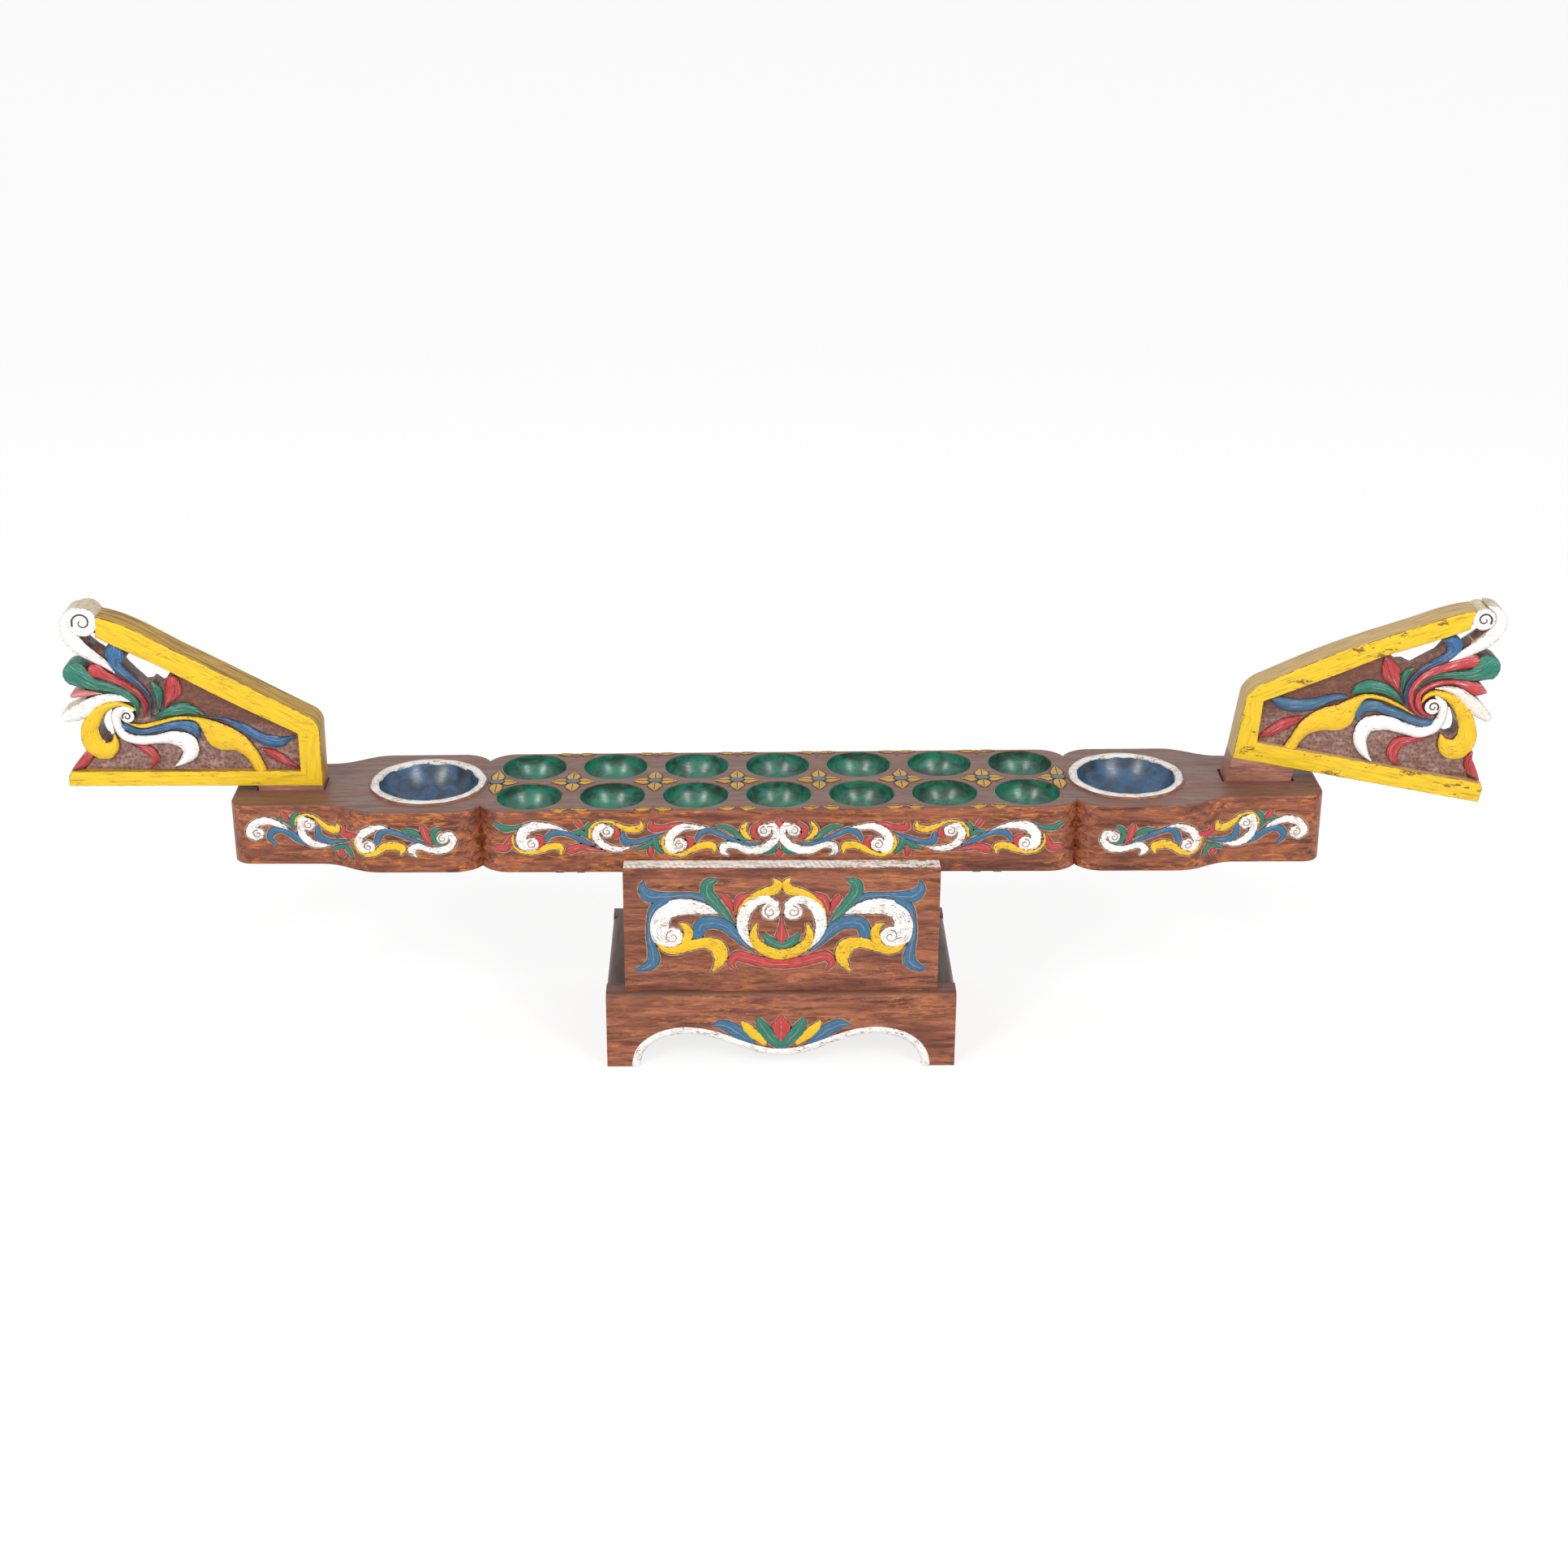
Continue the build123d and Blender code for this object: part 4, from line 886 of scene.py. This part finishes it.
def both_sides(tables, eyes=(), crossings=None, on_middle=None, middle=0.0):
    """Strokes drawn on the left of a middle line, the same on its right, with the eyes in white, and
    then the strokes that cross the line or stand on it."""
    sheets = {}
    for key, strokes in (item for table in tables for item in table.items()):
        for stroke in strokes:
            sheets.setdefault(key, []).extend([list(stroke), mirrored(stroke, middle)])
    for x, z, radius in eyes:
        sheets["white"].extend([[(x, z, radius)], [(2 * middle - x, z, radius)]])
    for key, stroke in (crossings or {}).items():
        sheets[key].append(crossing(stroke, middle))
    for key, strokes in (on_middle or {}).items():
        sheets.setdefault(key, []).extend(strokes)
    return sheets


def dress_faces(name, node, sheets, body, slot, middle=0.0):
    """The same strokes on the front and on the back, where the names hold which."""
    for side, way in (("front", 1), ("back", -1)):
        place = face_of(node.format(side), (0, way, 0))
        paint_strokes(name.format(side), sheets, place, body, slot, middle)


def stand_wing(side):
    """A function that puts a point of the drawn wing, at a depth from its middle plane, in place."""
    low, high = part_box(f"{side}_wing")
    sway, lean, edge = (1, RIGHT_LEAN, low.x) if side == "right" else (-1, 0.0, high.x)
    out_way = Vector((sway * math.cos(lean), 0, -math.sin(lean)))
    up_way = Vector((sway * math.sin(lean), 0, math.cos(lean)))
    shift = Vector((TENON_DEPTH * math.sin(lean), 0,
                    TENON_LENGTH * math.sin(lean) + TENON_DEPTH * math.cos(lean)))
    root = Vector((edge, 0, low.z)) + shift * MM

    def place(out, up, depth):
        return root + out_way * out * MM + up_way * up * MM + Vector((0, depth * MM, 0))

    return place


def tangent_arc(start, along, end, count=8):
    """Points on the round arc that leaves a start along a direction and ends at a point."""
    chord = end - start
    turn = math.atan2(along.cross(chord), along.dot(chord))
    points = []
    for i in range(1, count):
        share = turn * i / count
        heading = Matrix.Rotation(share, 2) @ along
        points.append(start + heading * chord.length * math.sin(share) / math.sin(turn))
    return points


def frame_outline(drawn):
    """The yellow frame's outline: beam, rounded shoulder, upright and foot strip."""
    lower, upper = ([p.xy for p in smooth_line([(out, up, 0) for out, up in drawn[edge]], 4)]
                    for edge in ("beam_lower", "beam_upper"))
    corner = Vector(drawn["shoulder"])
    shoulder = tangent_arc(upper[-1], (upper[-1] - upper[-2]).normalized(), corner)
    return lower + upper + shoulder + [corner] + [Vector(p) for p in drawn["foot"]]


def grain_of_frame(drawn):
    """A function that says how far a point is along and across the frame's member that it lies on."""
    cos, sin = math.cos(drawn["slope"]), math.sin(drawn["slope"])

    def grain(out, up):
        if up < drawn["strip"]:
            return (out, up)
        if out < drawn["upright"] and up < drawn["shoulder"][1]:
            return (up, out)
        return (out * cos + up * sin, up * cos - out * sin)

    return grain


def grain_of_plank(out, up):
    """How far a point is along and across the plank."""
    return (out, up)


def sawn_plate(name, node, place, outline, holes, thickness, eased, grain, paint):
    """A plate of a wing, sawn to an outline, with holes and eased edges."""
    drawing = bpy.data.curves.new(name, "CURVE")
    drawing.dimensions = "2D"
    drawing.fill_mode = "BOTH"
    drawing.extrude = thickness / 2 - eased
    drawing.bevel_depth = eased
    drawing.bevel_resolution = 2
    drawing.offset = -eased
    for points in (outline, *holes):
        spline = drawing.splines.new("POLY")
        spline.points.add(len(points) - 1)
        for spot, (out, up) in zip(spline.points, points):
            spot.co = (out, up, 0, 1)
        spline.use_cyclic_u = True
    holder = bpy.data.objects.new(name, drawing)
    mesh = bpy.data.meshes.new_from_object(holder)
    bpy.data.objects.remove(holder)
    mesh.materials.clear()
    mesh.materials.append(paint)
    layer = mesh.uv_layers.new(name="run")
    for face in mesh.polygons:
        flat = abs(face.normal.z) > 0.7
        for loop in face.loop_indices:
            spot = mesh.vertices[mesh.loops[loop].vertex_index].co
            # A hair towards the face's middle, so that each face has the grain of one member
            along, across = grain(*(s + (m - s) * 0.01 for s, m in zip(spot.xy, face.center.xy)))
            layer.data[loop].uv = (along * MM, (across if flat else spot.z + 50) * MM)
    edit = bmesh.new()
    edit.from_mesh(mesh)
    bmesh.ops.remove_doubles(edit, verts=edit.verts, dist=0.001)
    for corner in edit.verts:
        corner.co = place(*corner.co)
    return set_out(name, mesh, edit, PLATE_SHARP, node)


def both_faces(rim, top):
    """Heights of a carved form on the wing's two faces, each domed from its rim to its top."""
    dome = crown(rim, top)
    return (lambda side, half: -dome(side, half)), dome


def cut_line(veins, line, place, top, depth):
    """A fine dark line on both faces of a wing, drawn as a thin strip a little proud of the carving."""
    rise = top + WING_CUT_PROUD
    for way in (-1, 1):
        veins.shell(band(line, 2), place, level(way * rise), level(way * (rise - depth)))


def carve_wing(side):
    """One pierced wing: frame, tenon, punched ground, leaves, scrolls and eyes."""
    node, drawn, place = f"{side}_wing", WINGS[side], stand_wing(side)
    pieces = [sawn_plate(f"{node}_{part}", node, place, *shape) for part, *shape in (
        ("frame", frame_outline(drawn), (), WING_THICKNESS, 0.9, grain_of_frame(drawn), beam),
        ("tenon", TENON, (), WING_THICKNESS, 0.6, grain_of_plank, tenon_wood),
        ("punched_ground", drawn["web"], drawn["openings"], WEB_THICKNESS, 0.6, grain_of_plank, ground),
    )]
    reliefs, veins = {}, Relief()
    for forms, thickness in (("leaves", LEAF_THICKNESS), ("scrolls", SCROLL_THICKNESS)):
        for key, stroke in drawn[forms]:
            faces = both_faces(thickness / 2 - LEAF_DROP, thickness / 2 + LEAF_RISE)
            reliefs.setdefault(key, Relief()).shell(band(stroke, 10), place, *faces)
            if key not in VEINED:
                continue
            line = smooth_line(stroke, VEIN_STEP)
            vein = []
            for before, spot, after in zip(line, line[1:], line[2:]):
                along = (after.xy - before.xy).normalized()
                aside = Vector((-along.y, along.x)) * spot.z * WING_VEIN_ASIDE
                vein.append((spot.x + aside.x, spot.y + aside.y, VEIN_HALF * min(1, spot.z / 2)))
            cut_line(veins, vein, place, thickness / 2, WING_VEIN_DEPTH)
    for out, up, radius in drawn["eyes"]:
        top = SCROLL_THICKNESS / 2 + (BEAM_EYE_RISE if up > BEAM_EYE_UP else EYE_RISE)
        reliefs["white"].disc(out, up, radius, place, *both_faces(top - EYE_DROP, top), around=40)
        cut_line(veins, volute(out, up, radius, 1, -0.4, 0.6), place, top, WING_CURL_DEPTH)
    for key, relief in reliefs.items():
        tip = aged_white if key == "white" else None
        pieces.append(relief.build(f"{node}_{key}_leaves", node, "wing_wood", WING_ENAMELS[key],
                                   carved_side, tip))
    pieces.append(veins.build(f"{node}_leaf_veins", node, "wing_wood", vein_groove))
    for piece in pieces:
        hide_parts(node)


def turned_shell(name, profile, middle, paint, around, roughness):
    """A closed form on the board, turned about an upright axis from a profile of (radius, height)."""
    edit = bmesh.new()
    rings = []
    for i in range(around):
        angle = 2 * math.pi * i / around
        ring = []
        for radius, height in profile:
            spot = middle + Vector((math.cos(angle) * radius, math.sin(angle) * radius, height))
            wander = noise.noise(spot / WANDER_LENGTH) * roughness
            spot += Vector((math.cos(angle), math.sin(angle), 0)) * wander
            ring.append(edit.verts.new(spot * MM))
        rings.append(ring)
    count = len(profile)
    for one, other in zip(rings, rings[1:] + rings[:1]):
        for j in range(count):
            k = (j + 1) % count
            if profile[j][0] + profile[k][0] > 0.01:
                edit.faces.new((one[j], other[j], other[k], one[k]))
    bmesh.ops.remove_doubles(edit, verts=edit.verts, dist=0.00001)
    run, rim = (edit.loops.layers.uv.new(label) for label in ("run", "rim"))
    for loop in (loop for face in edit.faces for loop in face.loops):
        spot = loop.vert.co - middle * MM
        loop[run].uv = (math.atan2(spot.y, spot.x) * 0.04, math.hypot(spot.x, spot.y))
        loop[rim].uv = (0.0, 1.0)
    mesh = bpy.data.meshes.new(name)
    mesh.materials.append(paint)
    set_out(name, mesh, edit, RELIEF_SHARP, "board")


def board_top(x, y=0.0, over=0.0):
    """A point over the board's upper face, which rises to the right."""
    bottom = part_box("game_board")[0].z / MM
    share = (x - BOARD_MIDDLE) / BOARD_LENGTH
    top = bottom + (LEFT_THICKNESS + RIGHT_THICKNESS) / 2 + (RIGHT_THICKNESS - LEFT_THICKNESS) * share
    return Vector((x, y, top + over))


def bowl_profile(rim_radius, depth, start):
    """A thin coat inside a round bowl: its upper skin down from a rim, and its lower skin back up."""
    ball = (rim_radius ** 2 + depth ** 2) / (2 * depth)
    centre = ball - depth
    skins = []
    for coat_thickness in LACQUER_SKINS:
        radius = ball - coat_thickness
        first = math.asin((centre + start) / radius)
        angles = [first + (math.pi / 2 - first) * i / BOWL_STEPS for i in range(BOWL_STEPS + 1)]
        skins.append([(max(radius * math.cos(angle), 0.0), centre - radius * math.sin(angle))
                      for angle in angles])
    return skins[0] + skins[1][::-1]


def lacquer_pits():
    """Lacquer in the fourteen small pits and the two head pits, and white enamel on the head rings."""
    pit = bowl_profile(PIT_RIM_RADIUS, PIT_DEPTH, PIT_LACQUER_START)
    head = bowl_profile(HEAD_RIM_RADIUS, HEAD_DEPTH, HEAD_LACQUER_START)
    for column in range(7):
        x = BOARD_MIDDLE + PIT_PITCH * (column - 3)
        for row, y in (("front", -PIT_ROW_Y), ("back", PIT_ROW_Y)):
            turned_shell(f"pit_lacquer_{row}_{column + 1}", pit, board_top(x, y), pit_lacquer, 72, 0.18)
    inner, outer = HEAD_RIM_RADIUS, HEAD_RIM_RADIUS + HEAD_PAINT_WIDTH
    section = [(inner - 1.0, -2.2), (inner - 0.9, -0.4), (inner - 0.2, 0.5), (inner + 1.4, 0.9),
               (outer - 1.4, 0.7), (outer - 0.3, 0.35), (outer + 0.2, -0.2), (outer - 0.4, -0.6),
               (inner + 1.6, -0.8)]
    for side, way in (("left", -1), ("right", 1)):
        middle = board_top(BOARD_MIDDLE + way * HEAD_X, over=HEAD_RING_HEIGHT)
        turned_shell(f"{side}_head_pit_lacquer", head, middle, head_lacquer, 96, 0.25)
        turned_shell(f"{side}_head_ring_enamel", section, middle, ring_enamel, 120, 0.9)


def flower_petal(x, along, first, last, half):
    """A pointed, diamond-shaped petal from a flower's middle outward."""
    spots = []
    for share, width in ((0.0, 0.5), (0.22, 0.9), (0.42, 1.0), (0.7, 0.62), (1.0, 0.06)):
        reach = first + (last - first) * share
        spots.append((x + along[0] * reach, FLOWER_Y + along[1] * reach, half * width))
    return spots


def dress_top():
    """Ochre flowers between the pits, with grey blue middles and red buds along the edges."""
    place = face_of("game_board", (0, 0, -1))
    petals, middles, buds, outlines = Relief(), Relief(), Relief(), Relief()
    shapes = []
    for column in range(8):
        if column in (0, 7):
            inward = 1 if column == 0 else -1
            x = BOARD_MIDDLE - inward * END_FLOWER_X
            flower = (((inward, 0), 3.4, 16, 5.4), ((0, 1), 2.6, 22, 4.8), ((0, -1), 2.6, 23, 4.8))
            shapes += [flower_petal(x, *petal) for petal in flower]
        else:
            x = BOARD_MIDDLE + PIT_PITCH * (column - 3.5)
            flower = (((1, 0), 17, 5.6), ((-1, 0), 17, 5.6), ((0, 1), 19, 5.2), ((0, -1), 19, 5.2))
            shapes += [flower_petal(x, way, 3.6, *size) for way, *size in flower]
            for way in (-1, 1):
                for turn in (-1, 1):
                    shapes.append([(x + turn * 1.6, way * 53.6, 0.8), (x + turn * 5, way * 53.6, 2.6),
                                   (x + turn * 9, way * 54.0, 2.8), (x + turn * 14.5, way * 54.6, 0.2)])
                bud = [(x, way * 55.2, 0.6), (x, way * 51.5, 2.1), (x, way * 46.5, 0.2)]
                buds.shell(band(bud, 4), place, crown(0.25, 0.5), buried)
        for relief, half, across, top in ((middles, 3.3, 6, crown(0.7, 1.0)),
                                          (outlines, 4.3, 2, level(0.66))):
            ends = [(x - 1.8, FLOWER_Y, half), (x + 1.8, FLOWER_Y, half)]
            relief.shell(band(ends, across), place, top, buried)
    for shape in shapes:
        petals.shell(band(shape, 6), place, crown(0.25, 0.6), buried)
        outlines.shell(band(shape, 2, grow=FLOWER_GROOVE), place, groove_bed, buried)
        line = [(x, y, min(FLOWER_VEIN_HALF, half)) for x, y, half in smooth_line(shape, VEIN_STEP)[1:-1]]
        outlines.shell(band(line, 2), place, level(0.72), buried)
    for name, relief, paint in (("petals", petals, ochre), ("flower_middles", middles, slate),
                                ("red_buds", buds, bud_red), ("carved_outlines", outlines, top_groove)):
        relief.build(f"board_top_{name}", "board", "board_wood", paint)


def arch_edge(node, depth):
    """Points along an apron's arch, from its right foot over the crowns and the dip to its left foot."""
    surface = surface_of(node)
    rays = [(ARCH_CROWN_X, math.radians(degrees)) for degrees in range(0, 90, 5)]
    rays += [(x, math.pi / 2) for x in range(int(ARCH_CROWN_X), 0, -4)]
    edge = []
    for x, angle in rays:
        way = Vector((math.cos(angle), 0, math.sin(angle)))
        hit = surface.ray_cast(Vector((x * MM, depth, 0.0005)), way)[0]
        edge.append((hit.x / MM, hit.z / MM))
    return edge + [(-x, z) for x, z in edge[::-1]]


def bead_arch(side, way):
    """The white bead along an apron's arch: a rounded band on its face that turns in under the edge."""
    low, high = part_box(f"base_{side}_apron")
    edge = arch_edge(f"base_{side}_apron", (low.y + high.y) / 2)
    face = (low.y if way < 0 else high.y) / MM
    turn = ARCH_BEAD_RADIUS
    # The band's section, as (inset from the arch's edge, height over the apron's face)
    section = [(turn + 3.2, -0.4), (turn + 3.0, 0.35), (turn + 2.0, 0.75), (turn, 0.85)]
    for angle in map(math.radians, (25, 50, 75)):
        section.append((turn - (turn + 0.7) * math.sin(angle), (turn + 0.7) * math.cos(angle) - turn))
    section += [(-0.6, -turn), (-0.5, -turn - 2.5), (0.6, -turn - 2.8), (turn, -1.6)]
    edit = bmesh.new()
    run, rim = (edit.loops.layers.uv.new(label) for label in ("run", "rim"))
    rings = []
    for i, (x, z) in enumerate(edge):
        before, after = Vector(edge[max(i - 1, 0)]), Vector(edge[min(i + 1, len(edge) - 1)])
        along = (after - before).normalized()
        wander = 0.35 * noise.noise(Vector((x / 14, z / 14, 3.0)))
        ring = []
        for inset, proud in section:
            reach = inset + wander * (inset > turn)
            spot = Vector((x + along.y * reach, face + way * proud, max(z - along.x * reach, 0.05)))
            ring.append(edit.verts.new(spot * MM))
        rings.append(ring)
    count = len(section)
    for i in range(len(edge) - 1):
        for j in range(count):
            corners = ((i, j), (i + 1, j), (i + 1, j + 1), (i, j + 1))
            quad = edit.faces.new([rings[a][b % count] for a, b in corners])
            for loop, (a, b) in zip(quad.loops, corners):
                loop[run].uv = (a * 4 * MM, b * MM)
                loop[rim].uv = (abs(2 * b / count - 1), 0.004)
    edit.faces.new(rings[0])
    edit.faces.new(rings[-1][::-1])
    mesh = bpy.data.meshes.new(f"base_{side}_arch_bead")
    mesh.materials.append(ENAMELS["white"])
    set_out(mesh.name, mesh, edit, BEAD_SHARP, "stand")


def paint_panel_top(side):
    """The rubbed white enamel on the upper edge of one of the cradle's panels, with a ragged outline."""
    node = f"cradle_{side}_panel"
    low, high = (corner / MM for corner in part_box(node))
    first, last, near, far = low.x + 0.5, high.x - 0.5, low.y + 0.35, high.y - 0.35
    count = 160
    rows = []
    for i in range(count + 1):
        x = first + (last - first) * i / count
        # A slow and a quick wander, as (depth, length, line in the noise)
        ragged = sum(depth * abs(noise.noise(Vector((x / length, line, 0))))
                     for depth, length, line in ((0.9, 5, 0), (0.5, 1.7, 4)))
        rows.append([(x, near + ragged + (far - near - 2 * ragged) * j / 8, j / 4 - 1, i, 7)
                     for j in range(9)])
    relief = Relief()
    relief.shell(rows, face_of(node, (0, 0, -1)), level(0.2), level(-0.6))
    relief.build(f"cradle_{side}_panel_top_enamel", "stand", "stand_wood", top_enamel)


board_scrolls = both_sides((BOARD_STROKES, LOBE_STROKES), BOARD_EYES + LOBE_EYES,
                           on_middle=BOARD_MIDDLE_STROKES, middle=BOARD_MIDDLE)
dress_faces("board_{}", "game_board", board_scrolls, "board", "board_wood", BOARD_MIDDLE)
panel_scrolls = both_sides((PANEL_STROKES,), PANEL_EYES, PANEL_CROSSING, PANEL_MIDDLE)
dress_faces("cradle_{}", "cradle_{}_panel", panel_scrolls, "stand", "stand_wood")
fan = both_sides((FAN_STROKES,), on_middle=FAN_MIDDLE)
dress_faces("base_{}", "base_{}_apron", fan, "stand", "stand_wood")
carve_wing("left")
carve_wing("right")
lacquer_pits()
dress_top()
bead_arch("front", -1)
bead_arch("back", 1)
paint_panel_top("front")
paint_panel_top("back")

for wood, nodes in (
    (board_wood, ("game_board",)),
    (tenon_wood, ("left_wing", "right_wing")),
    (stand_wood, ("cradle_front_panel", "cradle_back_panel", "base_front_apron", "base_back_apron",
                  "base_top")),
    (stand_side_wood, ("cradle_left_rest", "cradle_right_rest", "base_left_apron", "base_right_apron")),
    (raw_wood, ("corner_blocks", "rest_dowels", "panel_dowels")),
):
    for slot in (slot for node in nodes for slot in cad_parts[node].material_slots):
        slot.material = wood


HALF_FLOOR = 30.0
FLOOR_GLOW = 1.15
FLOOR_GLOW_SHARE = 0.7
ROOM_LIGHT = 0.55
SOFTBOX_WIDTH = 0.7
SOFTBOX_HEIGHT = 1.6
LAMP_AIM = Vector((0, 0, 0.15))


def seen_straight(tree):
    """Where the camera sees a surface itself, or in a gloss or through a glass."""
    path = add(tree, "LightPath").outputs
    seen = path["Is Camera Ray"]
    for ray in ("Is Glossy Ray", "Is Transmission Ray"):
        seen = add(tree, "Math", (seen, path[ray]), operation="MAXIMUM")
    return seen


def softbox(name, x, power):
    """A tall rectangular studio lamp before the object, aimed at its middle."""
    lamp = bpy.data.lights.new(name, "AREA")
    lamp.shape = "RECTANGLE"
    lamp.size, lamp.size_y = SOFTBOX_WIDTH, SOFTBOX_HEIGHT
    lamp.energy = power
    place = Vector((x, -2.3, 1.9))
    holder = put(name, lamp)
    holder.location = place
    holder.rotation_euler = (LAMP_AIM - place).to_track_quat("-Z", "Y").to_euler()


# Floor of white paper that keeps the object's shadow, white surroundings, lamps and camera
floor_mesh = bpy.data.meshes.new("floor")
corners = [(x * HALF_FLOOR, y * HALF_FLOOR, 0) for x, y in ((-1, -1), (1, -1), (1, 1), (-1, 1))]
floor_mesh.from_pydata(corners, [], [(0, 1, 2, 3)])
floor = put("floor", floor_mesh)
floor_paint, tree = new_material("matt_white_paper")[:2]
share = add(tree, "Math", (seen_straight(tree), FLOOR_GLOW_SHARE), operation="MULTIPLY")
paper = add(tree, "BsdfDiffuse", {"Color": "#F2F2F2"})
glow = add(tree, "Emission", {"Color": "#FFFFFF", "Strength": FLOOR_GLOW})
add(tree, "OutputMaterial", {"Surface": add(tree, "MixShader", (share, paper, glow))})
floor_mesh.materials.append(floor_paint)

world = bpy.data.worlds.new("studio")
bpy.context.scene.world = world
world.use_nodes = True
tree = world.node_tree
tree.nodes.clear()
lit, shown = (add(tree, "Background", {"Color": "#FFFFFF", "Strength": power}) for power in (ROOM_LIGHT, 1.0))
surroundings = add(tree, "MixShader", (seen_straight(tree), lit, shown))
add(tree, "OutputWorld", {"Surface": surroundings})

softbox("left_softbox", -1.6, 39)
softbox("right_softbox", 1.6, 36)

CAMERA_PLACE = Vector((-0.0328, -1.7672, 0.9516))
CAMERA_YAW = 0.020
CAMERA_PITCH = 0.401
CAMERA_ROLL = 0.006
LENS_IN_PIXELS = 3096.5
FRAME_IN_PIXELS = 1932
camera = bpy.data.cameras.new("camera")
camera.sensor_fit = "HORIZONTAL"
camera.sensor_width = 36.0
camera.lens = camera.sensor_width * LENS_IN_PIXELS / FRAME_IN_PIXELS
camera_holder = put("camera", camera)
forward = Vector((
    math.sin(CAMERA_YAW) * math.cos(CAMERA_PITCH),
    math.cos(CAMERA_YAW) * math.cos(CAMERA_PITCH),
    -math.sin(CAMERA_PITCH),
))
level_right = Vector((math.cos(CAMERA_YAW), -math.sin(CAMERA_YAW), 0))
level_up = level_right.cross(forward)
right = level_right * math.cos(CAMERA_ROLL) + level_up * math.sin(CAMERA_ROLL)
up = level_up * math.cos(CAMERA_ROLL) - level_right * math.sin(CAMERA_ROLL)
turned = Matrix((right, up, -forward)).transposed().to_4x4()
camera_holder.matrix_world = Matrix.Translation(CAMERA_PLACE) @ turned
bpy.context.scene.camera = camera_holder
bpy.context.scene.view_settings.view_transform = "Standard"
